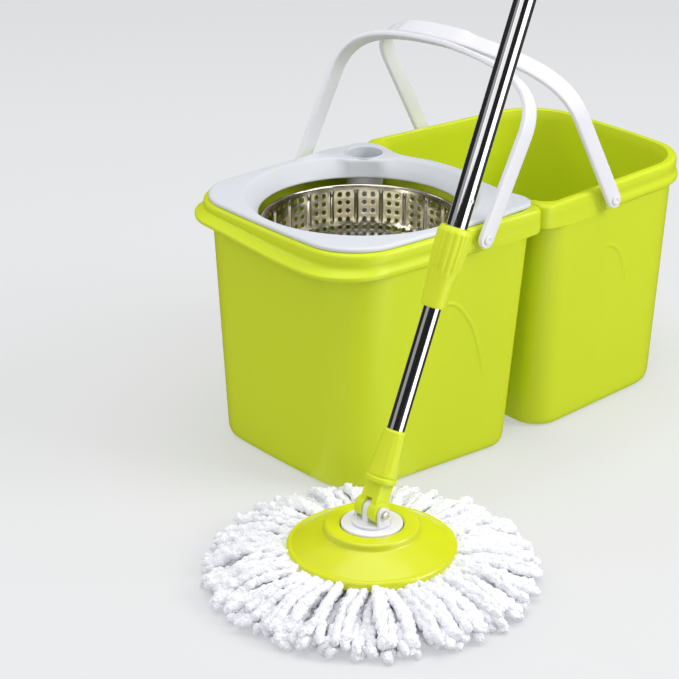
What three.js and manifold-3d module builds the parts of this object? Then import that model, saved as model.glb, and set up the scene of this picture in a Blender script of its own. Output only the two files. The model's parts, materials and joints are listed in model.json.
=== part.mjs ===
// Spin mop set: a spin bucket with a perforated basket, a wash bucket hooked to its side,
// and a hand-press mop whose twisted bar turns the head.
// Millimetres, +Z up. The origin is on the floor, on the basket's spin axis.
// +X points to the wash bucket, +Y to the side away from the mop.
import * as THREE from 'three';
import { mergeVertices } from 'three/addons/utils/BufferGeometryUtils.js';
import Module from 'manifold-3d';

const wasm = await Module();
wasm.setup();

// ---- Driving dimensions ----
const GAP = 0.3;                 // clearance between touching pieces

const RIM_Z = 263;               // rim height of both buckets
const BAND = 28;                 // height of the turned-down rim band
const WALL = 2.6;                // bucket wall thickness
const FLOOR = 4;                 // bucket floor thickness
const SIDE_INSET = 5.6;          // long walls set back from the rim band, under the rim
const SIDE_DRAFT = 15;           // extra set-back of the long walls at the floor
const END_DRAFT = 7;             // extra set-back of the end wall at the floor
const DIP = 18;                  // how far both rims dip along the shared side
// endInset is the end wall's set-back under the rim, and lip is how far the band flares there.
const SPIN = {
  seamX: 123, endX: -141, seamHalf: 143.5, endHalf: 133, endR: 58, seamR: 12, bulge: 4, endInset: 21.5, lip: 12,
};
const WASH = {
  seamX: 123.6, endX: 371, seamHalf: 143.5, endHalf: 126, endR: 58, seamR: 12, bulge: 8, endInset: 9, lip: 2,
};

const HOOK = { x: 126.5, y: 80, z: 165, half: 6 };   // tongue-and-loop hooks between the buckets

const GUARD_Z = 268;             // top of the splash guard's deck
const GUARD_SIDE = 6;            // guard's long edges set back from the band
const GUARD_END = 15.5;          // guard's end edge set back from the band's lip
const FUNNEL_R = 119;            // funnel mouth on the deck
const OPENING_R = 106;           // opening over the basket
const OVERHANG_R = 133;          // guard edge over the shared side, about the basket axis
const GUARD_TIP = 0.1;           // guard's near tip past the spin bucket's shared plane
const PORT = { x: 88, y: 97, r: 19, footR: 14, bossR: 32, wall: 1.6, tubeZ: 150 };

const BASKET_R = 104;
const BASKET_TOP = 239;
const BASKET_FLOOR = 160;

const PIVOT_Z = 251;             // bail pivots
const STRAP_W = 18;              // bail strap width
const STRAP_T = 6.5;             // bail strap thickness
const BAIL_HALF = 145.2;         // middle of the strap's leg from the centre plane
const SPIN_BAIL = { x: 37, lean: 27, crown: 172.5 };
const WASH_BAIL = { x: 219, lean: -28, crown: 176 };

const MOP = { x: -200, y: -247, pinZ: 72, lean: 21.6 };
const PLATE_R = 80;
const YARN_R = 167;
const CHEEK_R = 10.2;
const SOCKET = { z0: 27, z1: 77.5, rLow: 14, rTop: 10.6, flangeR: 15 };
const LOWER_TUBE = { r: 8.4, bore: 7.3, z0: 34, z1: 570 };
const COLLAR = { z0: 196.5, z1: 272.5, rLow: 12.2, rTop: 16.5 };
const UPPER_TUBE = { r: 10, bore: 9, z0: 232, z1: 925 };
const GRIP = { z0: 775, r: 14 };
const STUD_Z = 299.5;
const CAP_TOP = 941;
const BAR = { w: 7.6, t: 1.6, z0: 240, z1: 904, pitch: 100 };
const NUT = { z0: 560, z1: 563 };

// ---- Materials ----
function finish(color, roughness, metalness = 0) {
  return new THREE.MeshStandardMaterial({ color, roughness, metalness });
}
const lime = finish(0xc3d62a, 0.32);
const limeDark = finish(0xc9da2c, 0.42);
const white = finish(0xf1f1f4, 0.38);
const softWhite = finish(0xdfe3e7, 0.42);
const steel = finish(0xc4c6ca, 0.22, 1);
const tubeSteel = finish(0xb9bcc2, 0.12, 1);
const yarnWhite = finish(0xe9e9f4, 0.95);
const nylon = finish(0xd9dadc, 0.5);
const gripGreen = finish(0xb9cd2b, 0.6);

// ---- Geometry helpers ----
function toManifold(geometry) {
  const g = geometry.clone();
  g.deleteAttribute('normal');
  g.deleteAttribute('uv');
  const m = mergeVertices(g, 1e-4);
  return new wasm.Manifold(new wasm.Mesh({
    numProp: 3,
    vertProperties: new Float32Array(m.attributes.position.array),
    triVerts: new Uint32Array(m.index.array),
  }));
}

function fromManifold(solid) {
  const mesh = solid.getMesh();
  const g = new THREE.BufferGeometry();
  g.setAttribute('position', new THREE.BufferAttribute(new Float32Array(mesh.vertProperties), 3));
  g.setIndex(new THREE.BufferAttribute(new Uint32Array(mesh.triVerts), 1));
  g.computeVertexNormals();
  return g;
}

function join(parts, cuts = []) {
  let solid = toManifold(parts[0]);
  for (const p of parts.slice(1)) solid = solid.add(toManifold(p));
  for (const c of cuts) solid = solid.subtract(toManifold(c));
  return fromManifold(solid);
}

function piece(name, geometry, material, x = 0, y = 0, z = 0) {
  const mesh = new THREE.Mesh(geometry, material);
  mesh.name = name;
  mesh.position.set(x, y, z);
  return mesh;
}

// A solid of revolution about Z from a closed [radius, height] profile.
function turned(profile, segments = 20) {
  const pts = profile.map(([r, z]) => new THREE.Vector2(r, z));
  if (profile[0][0] > 0) pts.push(pts[0].clone());
  const g = new THREE.LatheGeometry(pts, segments);
  g.rotateX(Math.PI / 2);
  const cleaned = toManifold(g);
  const solid = cleaned.volume() < 0 ? toManifold(flipped(g)) : cleaned;
  return fromManifold(solid);
}

function flipped(geometry) {
  const g = geometry.clone();
  const index = g.index.array;
  for (let i = 0; i < index.length; i += 3) {
    const a = index[i];
    index[i] = index[i + 1];
    index[i + 1] = a;
  }
  return g;
}

function rod(r, z0, z1, segments = 20) {
  return turned([[0, z0], [r, z0], [r, z1], [0, z1]], segments);
}

function sleeve(rIn, rOut, z0, z1, segments = 20) {
  return turned([[rIn, z0], [rOut, z0], [rOut, z1], [rIn, z1]], segments);
}

// A round bar along Y.
function crossRod(r, y0, y1, z, segments = 20, x = 0) {
  const g = new THREE.CylinderGeometry(r, r, y1 - y0, segments);
  g.translate(x, (y0 + y1) / 2, z);
  return g;
}

function block(x0, x1, y0, y1, z0, z1) {
  const g = new THREE.BoxGeometry(x1 - x0, y1 - y0, z1 - z0);
  g.translate((x0 + x1) / 2, (y0 + y1) / 2, (z0 + z1) / 2);
  return g;
}

// ---- Bucket shells ----
// A rounded four-sided plan outline, counter-clockwise for the +X end and clockwise
// for the -X end, always starting in the middle of the shared side.
function planOutline(b, inset, endInset, seamInset, seamR) {
  const dir = Math.sign(b.endX - b.seamX);
  const xs = b.seamX + dir * seamInset;
  const xe = b.endX - dir * endInset;
  const ws = b.seamHalf - inset;
  const we = b.endHalf - inset;
  const endR = Math.max(b.endR - inset * 0.5, 20);
  const half = [[xs, 0]];
  const seamSteps = 6;
  for (let i = 1; i <= seamSteps; i++) half.push([xs, (ws - seamR) * i / seamSteps]);
  half.push(...fillet([xs, 0], [xs, ws], [xe, we], seamR, 4).slice(1));
  half.push(...fillet([xs, ws], [xe, we], [xe, 0], endR, 7));
  half.push([xe, (we - endR) / 2], [xe, 0]);
  for (const p of half) {
    const along = THREE.MathUtils.clamp((p[0] - xs) / (xe - xs), 0, 1);
    p[0] += dir * b.bulge * along ** 4 * (1 - (p[1] / we) ** 2);
    p[0] = aroundBasket(p[0], p[1], b, seamInset);
  }
  const mirror = half.slice(1, -1).reverse().map(([x, y]) => [x, -y]);
  return half.concat(mirror);
}

// The wash bucket's shared wall curves round the guard's overhanging edge.
function aroundBasket(x, y, b, seamInset) {
  if (b !== WASH || Math.abs(y) > OVERHANG_R / 2) return x;
  const arc = Math.sqrt((OVERHANG_R + 1) ** 2 - y * y) + seamInset;
  return x < b.seamX + 60 ? Math.max(x, arc) : x;
}

function fillet(a, v, c, r, steps) {
  const va = new THREE.Vector2(a[0] - v[0], a[1] - v[1]).normalize();
  const vc = new THREE.Vector2(c[0] - v[0], c[1] - v[1]).normalize();
  const half = Math.acos(va.dot(vc)) / 2;
  const cut = r / Math.tan(half);
  const bis = va.clone().add(vc).normalize().multiplyScalar(r / Math.sin(half));
  const centre = new THREE.Vector2(v[0], v[1]).add(bis);
  const start = new THREE.Vector2(v[0], v[1]).addScaledVector(va, cut).sub(centre);
  const end = new THREE.Vector2(v[0], v[1]).addScaledVector(vc, cut).sub(centre);
  let sweep = end.angle() - start.angle();
  if (sweep > Math.PI) sweep -= 2 * Math.PI;
  if (sweep < -Math.PI) sweep += 2 * Math.PI;
  const out = [];
  for (let i = 0; i <= steps; i++) {
    const t = start.angle() + sweep * i / steps;
    out.push([centre.x + r * Math.cos(t), centre.y + r * Math.sin(t)]);
  }
  return out;
}

// How far the rim dips at this place on the plan.
function rimDip(x, y, b) {
  const nearSeam = 1 - THREE.MathUtils.smoothstep(Math.abs(x - b.seamX), 20, 40);
  const between = 1 - THREE.MathUtils.smoothstep(Math.abs(y), 72, 118);
  return DIP * nearSeam * between;
}

// Rings joined by quads, closed by a fan at both ends.
function loft(rings) {
  const n = rings[0].length;
  const pos = [];
  for (const ring of rings) for (const p of ring) pos.push(...p);
  const index = [];
  for (let k = 0; k < rings.length - 1; k++) {
    for (let i = 0; i < n; i++) {
      const a = k * n + i;
      const b = k * n + (i + 1) % n;
      index.push(a, b, b + n, a, b + n, a + n);
    }
  }
  for (const [k, turn] of [[0, -1], [rings.length - 1, 1]]) {
    const ring = rings[k];
    const mid = ring.reduce((s, p) => [s[0] + p[0] / n, s[1] + p[1] / n, s[2] + p[2] / n], [0, 0, 0]);
    const c = pos.length / 3;
    pos.push(...mid);
    for (let i = 0; i < n; i++) {
      const a = k * n + i;
      const b = k * n + (i + 1) % n;
      index.push(...(turn > 0 ? [a, b, c] : [b, a, c]));
    }
  }
  const g = new THREE.BufferGeometry();
  g.setAttribute('position', new THREE.Float32BufferAttribute(pos, 3));
  g.setIndex(index);
  return toManifold(g).volume() < 0 ? flipped(g) : g;
}

function bucketShell(b) {
  const skirt = RIM_Z - BAND;
  const side = SIDE_INSET;
  const foot = side + SIDE_DRAFT;
  const end = b.endInset;
  const endFoot = end + END_DRAFT;
  const lip = b.lip;
  // [side inset, end inset, shared-side inset, corner radius there, height, follows the dip]
  const levels = [
    [foot + 9, endFoot + 9, 26, 26, 0, 0],
    [foot + 3, endFoot + 3, 20, 28, 2.5, 0],
    [foot, endFoot, 17, 28, 12, 0],
    [side, end, 9, 26, skirt - 6, 0],
    [side, end, 9, 24, RIM_Z - WALL - 4, 1],
    [WALL, lip + WALL, WALL, 10, RIM_Z - WALL, 1],
    [WALL, lip + WALL, WALL, 10, skirt + 16, 1],
    [WALL, WALL, WALL, 10, skirt + 6, 1],
    [WALL, WALL, WALL, 10, skirt, 1],
    [0, 0, 0, SPIN.seamR, skirt, 1],
    [0, 0, 0, SPIN.seamR, skirt + 7, 1],
    [0, lip, 0, SPIN.seamR, skirt + 18, 1],
    [0, lip, 0, SPIN.seamR, RIM_Z - 1.5, 1],
    [1.5, lip + 1.5, 1.2, 11, RIM_Z, 1],
    [side + 1.4, end + 1.4, 8, 20, RIM_Z, 1],
    [side + WALL, end + WALL, 9 + WALL, 22, RIM_Z - 3, 1],
    [foot + WALL, endFoot + WALL, 17 + WALL, 25, 14, 0],
    [foot + WALL + 7, endFoot + WALL + 7, 17 + WALL + 7, 25, FLOOR, 0],
  ];
  return loft(levels.map(([inset, endInset, seamInset, seamR, z, dips]) =>
    planOutline(b, inset, endInset, seamInset, seamR).map(([x, y]) => [x, y, z - dips * rimDip(x, y, b)])));
}

// A loop on the spin bucket's shared wall, for the wash bucket's tongue.
function hookLoop(y) {
  const { x, z, half } = HOOK;
  const loop = block(x - 17, x + 4, y - half - 3, y + half + 3, z, z + 14);
  const hole = block(x - 2.5, x + 2, y - half - 0.8, y + half + 0.8, z - 5, z + 20);
  return { loop, hole };
}

// A tongue on the wash bucket that drops into the loop.
function hookTongue(y) {
  const { x, z, half } = HOOK;
  return [
    block(x - 1.8, x + 1.2, y - half, y + half, z - 6, z + 24),
    block(x - 1.8, x + 9.5, y - half, y + half, z + 16, z + 24),
  ];
}

function spinBucket() {
  const hooks = [-HOOK.y, HOOK.y].map(hookLoop);
  const post = sleeve(5.4, 15, FLOOR - 1, FLOOR + 5);
  return join([bucketShell(SPIN), post, ...hooks.map((h) => h.loop)], hooks.map((h) => h.hole));
}

function washBucket() {
  return join([bucketShell(WASH), ...[-HOOK.y, HOOK.y].flatMap(hookTongue)]);
}

// ---- Spin basket and its spindle ----
function basketShell() {
  const t = 1.2;
  return turned([
    [24, BASKET_FLOOR], [70, BASKET_FLOOR], [82, BASKET_FLOOR + 5], [94, BASKET_FLOOR + 17],
    [101, BASKET_FLOOR + 33], [102.6, BASKET_FLOOR + 46], [102.8, BASKET_TOP - 4],
    [BASKET_R + 1.6, BASKET_TOP - 5], [BASKET_R + 2, BASKET_TOP - 1], [BASKET_R + 0.6, BASKET_TOP],
    [102.8 - t, BASKET_TOP - 1.2], [102.6 - t, BASKET_FLOOR + 46], [101 - t, BASKET_FLOOR + 33.4],
    [94 - t, BASKET_FLOOR + 18], [81.4, BASKET_FLOOR + 6.2], [69.6, BASKET_FLOOR + t],
    [24, BASKET_FLOOR + t],
  ], 36);
}

function basketHub() {
  return turned([
    [7.6, 150], [23, 150], [23.6, 152], [23.6, BASKET_FLOOR + 1.5], [22, BASKET_FLOOR + 6],
    [15, BASKET_FLOOR + 9], [7.6, BASKET_FLOOR + 9],
  ]);
}

function spindlePost() {
  const cone = turned([
    [0, FLOOR + 5.4], [40, FLOOR + 5.4], [40, FLOOR + 8], [20, FLOOR + 13], [13, FLOOR + 40],
    [11, 146], [4.6, 146], [4.6, 120], [0, 120],
  ]);
  return join([cone], postScrewSpots().map(([x, y]) => moved(rod(2.4, 0, FLOOR + 20, 12), x, y, 0)));
}

function postScrewSpots() {
  return [45, 135, 225, 315].map((deg) => {
    const a = THREE.MathUtils.degToRad(deg);
    return [31 * Math.cos(a), 31 * Math.sin(a)];
  });
}

function moved(geometry, x, y, z) {
  const g = geometry.clone();
  g.translate(x, y, z);
  return g;
}

function spindle() {
  const group = new THREE.Group();
  group.add(
    piece('spindle_post', spindlePost(), nylon),
    piece('spindle_pin', rod(4.3, 120.4, BASKET_FLOOR + 12, 16), steel),
    piece('basket_bearing', sleeve(4.6, 7.3, 151, BASKET_FLOOR + 8), nylon),
    piece('basket', basketShell(), steel),
    piece('basket_hub', basketHub(), softWhite),
    piece('hub_cap', turned([
      [4.6, BASKET_FLOOR + 9.4], [13, BASKET_FLOOR + 9.4], [11, BASKET_FLOOR + 14],
      [0, BASKET_FLOOR + 15.5], [0, BASKET_FLOOR + 12.4], [4.6, BASKET_FLOOR + 12.4],
    ]), softWhite),
  );
  const foot = FLOOR + 5.7;
  const head = FLOOR + 13.4;
  const screw = turned([[0, foot], [2, foot], [2, head], [4, head], [3.4, head + 2], [0, head + 2.4]], 12);
  postScrewSpots().forEach(([x, y], i) => group.add(piece(`post_screw_${i + 1}`, screw, steel, x, y)));
  return group;
}

// ---- Splash guard ----
function guardOutline() {
  const rim = planOutline(SPIN, GUARD_SIDE, GUARD_END, GUARD_SIDE, 14);
  const s = new THREE.Shape();
  const seam = SPIN.seamX;
  const tipY = SPIN.seamHalf - GUARD_SIDE - 9;
  const sides = rim.filter(([x, y]) => x < 70);
  const far = sides.filter(([, y]) => y >= 0);
  const near = sides.filter(([, y]) => y < 0);
  s.moveTo(far[0][0], far[0][1]);
  for (const [x, y] of far.slice(1).concat(near)) s.lineTo(x, y);
  s.lineTo(seam - 14, -tipY - 4);
  s.quadraticCurveTo(seam + 2, -tipY + 3, seam + GUARD_TIP, -108);
  s.quadraticCurveTo(seam - 4, -90, seam - 1.5, -66);
  const join0 = Math.asin(52 / OVERHANG_R);
  for (let i = 0; i <= 8; i++) {
    const a = -join0 + 2 * join0 * i / 8;
    s.lineTo(OVERHANG_R * Math.cos(a), OVERHANG_R * Math.sin(a));
  }
  s.quadraticCurveTo(seam - 8, 70, seam - 7, 84);
  s.quadraticCurveTo(seam - 3, 88, PORT.x + PORT.bossR, 106);
  s.quadraticCurveTo(seam, 122, seam - 16, tipY + 3);
  s.closePath();
  return s;
}

function splashGuard() {
  const outline = guardOutline();
  const depth = GUARD_Z - RIM_Z - GAP;
  const deck = new THREE.ExtrudeGeometry(outline, { depth, bevelEnabled: false, curveSegments: 6 });
  deck.translate(0, 0, RIM_Z + GAP);
  const mouth = rod(FUNNEL_R, RIM_Z - 20, GUARD_Z + 5, 40);
  const funnel = turned([
    [FUNNEL_R - 4, GUARD_Z - 6.5], [FUNNEL_R + 2, RIM_Z + GAP + 0.1], [FUNNEL_R + 2, GUARD_Z],
    [FUNNEL_R - 1, GUARD_Z], [OPENING_R + 3, GUARD_Z - 11], [OPENING_R, GUARD_Z - 16],
    [OPENING_R + 2, GUARD_Z - 17],
    [OPENING_R + 5, GUARD_Z - 13],
  ], 40);
  const tube = moved(turned([
    [PORT.footR, PORT.tubeZ], [PORT.footR + PORT.wall, PORT.tubeZ], [PORT.r + PORT.wall, GUARD_Z - 4],
    [PORT.r + PORT.wall, GUARD_Z], [PORT.r, GUARD_Z],
  ]), PORT.x, PORT.y, 0);
  const hole = moved(rod(PORT.r, GUARD_Z - 6, GUARD_Z + 5), PORT.x, PORT.y, 0);
  const cut = fromManifold(toManifold(deck).subtract(toManifold(mouth)));
  return join([cut, funnel, tube], [hole]);
}

// ---- Bails ----
class BailPath extends THREE.CurvePath {
  constructor(crown) {
    super();
    const y = BAIL_HALF;
    const p = (yy, s) => new THREE.Vector3(0, yy, s);
    this.add(new THREE.LineCurve3(p(-y, 0), p(-y, crown - 66)));
    const bend = (a, b, c, d) => new THREE.CubicBezierCurve3(a, b, c, d);
    const top = p(0, crown);
    this.add(bend(p(-y, crown - 66), p(-y, crown - 20), p(-112, crown - 4), top));
    this.add(bend(top, p(112, crown - 4), p(y, crown - 20), p(y, crown - 66)));
    this.add(new THREE.LineCurve3(p(y, crown - 66), p(y, 0)));
  }
}

// A flat strap swept along a path in the YZ plane, with rounded feet and a pin hole in each.
function bail(crown) {
  const path = new BailPath(crown);
  const stops = [0, 0.5, 1];
  const points = [];
  path.curves.forEach((curve) => {
    const steps = curve instanceof THREE.LineCurve3 ? stops : [...Array(11).keys()].map((i) => i / 10);
    for (const t of steps.slice(points.length ? 1 : 0)) {
      points.push([curve.getPoint(t), curve.getTangent(t)]);
    }
  });
  const w = STRAP_W / 2;
  const t = STRAP_T / 2;
  const edge = 1.6;
  const section = [[-w, -t + edge], [-w + edge, -t], [w - edge, -t], [w, -t + edge],
    [w, t - edge], [w - edge, t], [-w + edge, t], [-w, t - edge]];
  const rings = points.map(([c, d]) =>
    section.map(([a, b]) => [a, c.y + b * d.z, c.z - b * d.y]));
  const feet = [-1, 1].map((s) => crossRod(w, s * BAIL_HALF - t, s * BAIL_HALF + t, 0));
  const holes = [-1, 1].map((s) => crossRod(3.1, s * BAIL_HALF - 8, s * BAIL_HALF + 8, 0, 16));
  return join([loft(rings), ...feet], holes);
}

function bailPins(prefix, b, spec) {
  const along = (spec.x - b.seamX) / (b.endX - b.seamX);
  const band = THREE.MathUtils.lerp(b.seamHalf, b.endHalf, along);
  return [-1, 1].map((side) => {
    const shank = crossRod(2.8, band + 0.6, BAIL_HALF + STRAP_T / 2 + 0.5, 0, 16);
    const head = crossRod(4.6, BAIL_HALF + STRAP_T / 2 + 0.4, BAIL_HALF + STRAP_T / 2 + 1.8, 0, 16);
    const g = join([shank, head]);
    if (side < 0) g.rotateZ(Math.PI);
    return piece(`${prefix}_pin_${side < 0 ? 'near' : 'far'}`, g, white, spec.x, 0, PIVOT_Z);
  });
}

function bailSet(prefix, b, spec) {
  const handle = piece(`${prefix}_handle`, bail(spec.crown), white, spec.x, 0, PIVOT_Z);
  handle.rotation.y = THREE.MathUtils.degToRad(spec.lean);
  return [handle, ...bailPins(prefix, b, spec)];
}

// ---- Mop head ----
function headPlate() {
  return turned([
    [PLATE_R, 28], [PLATE_R, 36], [PLATE_R - 1.5, 37.6], [62, 44.5], [45.5, 50.5], [44.8, 56.4],
    [43, 57.8], [29.8, 57.8], [29.6, 51.3], [8.4, 51.3], [8.4, 46], [41, 46], [60, 41], [76, 34.6],
    [77.4, 33], [77.4, 28],
  ], 36);
}

function yarnSolid() {
  return turned([
    [46, 3], [50, 0], [YARN_R - 14, 0], [YARN_R - 4, 4], [YARN_R, 12], [YARN_R - 4, 21], [YARN_R - 18, 28],
    [120, 33], [88, 31.5], [82, 27.6], [75, 27.4], [46, 26],
  ], 30);
}

function knuckle() {
  const base = moved(rod(19, 59.3, 61.2), 0, 0, 0);
  const lug = (r, y0, y1) => [
    crossRod(r, y0, y1, MOP.pinZ),
    block(-r, r, y0, y1, 59.6, MOP.pinZ),
  ];
  return join([base, ...lug(8.8, -3.6, 3.6), ...lug(6.6, -17.6, -14.4), ...lug(6.6, 14.4, 17.6)],
    [crossRod(2.8, -30, 30, MOP.pinZ, 16)]);
}

function mopHead() {
  const group = new THREE.Group();
  group.position.set(MOP.x, MOP.y, 0);
  group.add(
    piece('head_plate', headPlate(), lime),
    piece('yarn_ring', sleeve(54, 76.4, 29.6, 33, 30), nylon),
    piece('yarn', yarnSolid(), yarnWhite),
    piece('hub_washer', turned([
      [4.5, 51.6], [14, 51.6], [14, 55], [29, 55.2], [29, 58.2], [28, 58.9], [4.5, 58.9],
    ], 28), white),
    piece('hub_bearing', sleeve(4.5, 8.1, 43.9, 51), nylon),
    piece('hub_bolt', turned([
      [0, 38.6], [8, 38.6], [8.5, 43.5], [4.2, 43.5], [4.2, 58.9], [0, 58.9],
    ], 16), steel),
    piece('knuckle', knuckle(), white),
    piece('pivot_pin', join([
      crossRod(2.5, -20.4, 18, MOP.pinZ, 16),
      crossRod(4.2, -20.4, -18, MOP.pinZ, 6),
    ]), steel),
    piece('pivot_nut', crossRod(4.2, 18.3, 21, MOP.pinZ, 6), steel),
  );
  return group;
}

// ---- Pole: local Z runs up the pole from the pivot pin ----
function fork() {
  return join([
    crossRod(CHEEK_R, -14, -4, 0),
    crossRod(CHEEK_R, 4, 14, 0),
    block(-8, 8, -10.5, 10.5, 4, SOCKET.z0 - GAP),
    rod(6, 20, SOCKET.z0 + 6),
  ], [
    block(-20, 20, -4, 4, -20, 11),
    crossRod(2.8, -30, 30, 0, 16),
  ]);
}

function lowerSocket() {
  return turned([
    [6.3, SOCKET.z0], [SOCKET.flangeR, SOCKET.z0], [SOCKET.flangeR, SOCKET.z0 + 4.5],
    [SOCKET.rLow, SOCKET.z0 + 5],
    [SOCKET.rTop, SOCKET.z1 - 1], [SOCKET.rTop - 0.8, SOCKET.z1], [LOWER_TUBE.r + GAP, SOCKET.z1],
    [LOWER_TUBE.r + GAP, LOWER_TUBE.z0 - GAP], [6.3, LOWER_TUBE.z0 - GAP],
  ]);
}

function lockCollar() {
  return turned([
    [LOWER_TUBE.r + 0.5, COLLAR.z0], [COLLAR.rLow - 0.6, COLLAR.z0], [COLLAR.rLow, COLLAR.z0 + 2],
    [COLLAR.rLow + 0.8, COLLAR.z0 + 22], [COLLAR.rTop - 1, COLLAR.z0 + 40], [COLLAR.rTop, COLLAR.z1 - 4],
    [COLLAR.rTop - 2.5, COLLAR.z1], [UPPER_TUBE.r + 0.4, COLLAR.z1], [UPPER_TUBE.r + 0.4, COLLAR.z0 + 48],
    [12.4, COLLAR.z0 + 47], [12.4, COLLAR.z0 + 31], [11.3, COLLAR.z0 + 30], [11.3, COLLAR.z0 + 17],
    [LOWER_TUBE.r + 0.5, COLLAR.z0 + 16],
  ]);
}

function twistedBar() {
  const steps = Math.round((BAR.z1 - BAR.z0) / BAR.pitch * 12);
  const rings = [];
  for (let k = 0; k <= steps; k++) {
    const z = THREE.MathUtils.lerp(BAR.z0, BAR.z1, k / steps);
    const a = 2 * Math.PI * z / BAR.pitch;
    const corners = [[1, 1], [-1, 1], [-1, -1], [1, -1]];
    rings.push(corners.map(([i, j]) => {
      const u = i * BAR.w / 2;
      const v = j * BAR.t / 2;
      return [u * Math.cos(a) - v * Math.sin(a), u * Math.sin(a) + v * Math.cos(a), z];
    }));
  }
  return loft(rings);
}

function driveNut() {
  const slot = block(-4.6, 4.6, -1.9, 1.9, NUT.z0 - 2, NUT.z1 + 2);
  slot.rotateZ(2 * Math.PI * (NUT.z0 + NUT.z1) / 2 / BAR.pitch);
  return join([rod(6.9, NUT.z0, NUT.z1)], [slot]);
}

// A stud set in the tube's wall, which keeps the collar from riding up.
function stopStud() {
  return crossRod(2.6, -UPPER_TUBE.r - 0.8, -UPPER_TUBE.bore - 0.1, STUD_Z, 16);
}

function upperTube() {
  const hole = crossRod(2.9, -14, -5, STUD_Z, 16);
  return join([sleeve(UPPER_TUBE.bore, UPPER_TUBE.r, UPPER_TUBE.z0, UPPER_TUBE.z1)], [hole]);
}

function pole() {
  const group = new THREE.Group();
  group.position.set(MOP.x, MOP.y, MOP.pinZ);
  group.rotation.y = THREE.MathUtils.degToRad(MOP.lean);
  const top = UPPER_TUBE.z1;
  group.add(
    piece('fork', fork(), limeDark),
    piece('lower_socket', lowerSocket(), limeDark),
    piece('lower_tube', sleeve(LOWER_TUBE.bore, LOWER_TUBE.r, LOWER_TUBE.z0, LOWER_TUBE.z1), tubeSteel),
    piece('clutch_ring', sleeve(4.6, 6.9, NUT.z0 - 10, NUT.z0 - GAP, 16), nylon),
    piece('drive_nut', driveNut(), nylon),
    piece('slide_bush', sleeve(LOWER_TUBE.r + GAP, 11, COLLAR.z0 + 17.4, COLLAR.z0 + 29), nylon),
    piece('lock_collar', lockCollar(), limeDark),
    piece('lock_ring', sleeve(UPPER_TUBE.r + GAP, 12, COLLAR.z0 + 37, COLLAR.z0 + 46), nylon),
    piece('upper_tube', upperTube(), tubeSteel),
    piece('stop_stud', stopStud(), steel),
    piece('twisted_bar', twistedBar(), steel),
    piece('bar_anchor', rod(UPPER_TUBE.bore - GAP, BAR.z1 + GAP, top - 1), nylon),
    piece('grip_sleeve', turned([
      [UPPER_TUBE.r + GAP, GRIP.z0], [GRIP.r - 1.5, GRIP.z0], [GRIP.r, GRIP.z0 + 4],
      [GRIP.r - 0.8, GRIP.z0 + 75],
      [GRIP.r, top - 3], [UPPER_TUBE.r + GAP, top - 3],
    ]), gripGreen),
    piece('end_cap', turned([
      [0, top + GAP], [GRIP.r - 0.5, top + GAP], [GRIP.r - 0.5, top + 7], [10, CAP_TOP - 3], [0, CAP_TOP],
    ]), limeDark),
  );
  return group;
}

// ---- Assembly ----
const model = new THREE.Group();
model.add(
  piece('spin_bucket', spinBucket(), lime),
  piece('wash_bucket', washBucket(), lime),
  piece('splash_guard', splashGuard(), softWhite),
  spindle(),
  ...bailSet('spin', SPIN, SPIN_BAIL),
  ...bailSet('wash', WASH, WASH_BAIL),
  mopHead(),
  pole(),
);
export default model;
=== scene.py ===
import json
import math
import random
from contextlib import contextmanager
from functools import partial

import bmesh
import bpy
import numpy as np
from mathutils import Matrix, Vector
from mathutils.bvhtree import BVHTree


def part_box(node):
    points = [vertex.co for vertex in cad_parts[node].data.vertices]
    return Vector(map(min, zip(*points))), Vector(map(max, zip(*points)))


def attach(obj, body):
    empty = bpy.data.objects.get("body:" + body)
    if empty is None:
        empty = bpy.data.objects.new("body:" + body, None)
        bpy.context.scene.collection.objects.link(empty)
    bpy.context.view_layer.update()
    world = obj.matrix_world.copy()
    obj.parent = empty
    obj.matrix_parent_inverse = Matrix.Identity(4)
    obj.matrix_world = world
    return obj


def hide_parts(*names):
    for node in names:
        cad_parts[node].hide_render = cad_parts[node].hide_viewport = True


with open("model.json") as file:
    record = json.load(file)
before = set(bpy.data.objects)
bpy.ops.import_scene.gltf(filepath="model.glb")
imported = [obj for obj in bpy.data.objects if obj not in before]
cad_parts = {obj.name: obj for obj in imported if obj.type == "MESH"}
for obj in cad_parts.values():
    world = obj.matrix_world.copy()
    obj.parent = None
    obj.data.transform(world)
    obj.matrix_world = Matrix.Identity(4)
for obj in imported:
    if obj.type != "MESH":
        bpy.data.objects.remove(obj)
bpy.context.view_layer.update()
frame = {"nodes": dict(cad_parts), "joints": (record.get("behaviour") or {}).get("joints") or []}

# A spin mop set: lime twin bucket, white splash guard, perforated steel basket,
# two bail handles and a hand-press mop with a microfibre head. Metres, +Z up.
# Plans and profiles of the pieces are in millimetres, and mm turns them into metres.
mm = 0.001

scene = bpy.context.scene
nodes = frame["nodes"]
joints = {j["name"]: j for j in frame["joints"]}


# Camera, floor and lights.
cameraPlan = {
    "azimuth": -40.3,
    "elevation": 22.0,
    "distance": 2.412,
    "lens": 122.0,
    "target": (-0.0052, 0.0292, 0.150),
    "shiftX": 0.0,
    "shiftY": -0.067,
}


def makeCamera(plan):
    data = bpy.data.cameras.new("camera")
    cam = bpy.data.objects.new("camera", data)
    scene.collection.objects.link(cam)
    a, e = math.radians(plan["azimuth"]), math.radians(plan["elevation"])
    back = Vector((math.sin(a) * math.cos(e), -math.cos(a) * math.cos(e), math.sin(e)))
    cam.location = Vector(plan["target"]) + back * plan["distance"]
    cam.rotation_mode = "QUATERNION"
    cam.rotation_quaternion = (-back).to_track_quat("-Z", "Y")
    data.sensor_width = 36
    data.lens = plan["lens"]
    data.shift_x, data.shift_y = plan["shiftX"], plan["shiftY"]
    data.clip_start, data.clip_end = 0.05, 50
    scene.camera = cam


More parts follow.
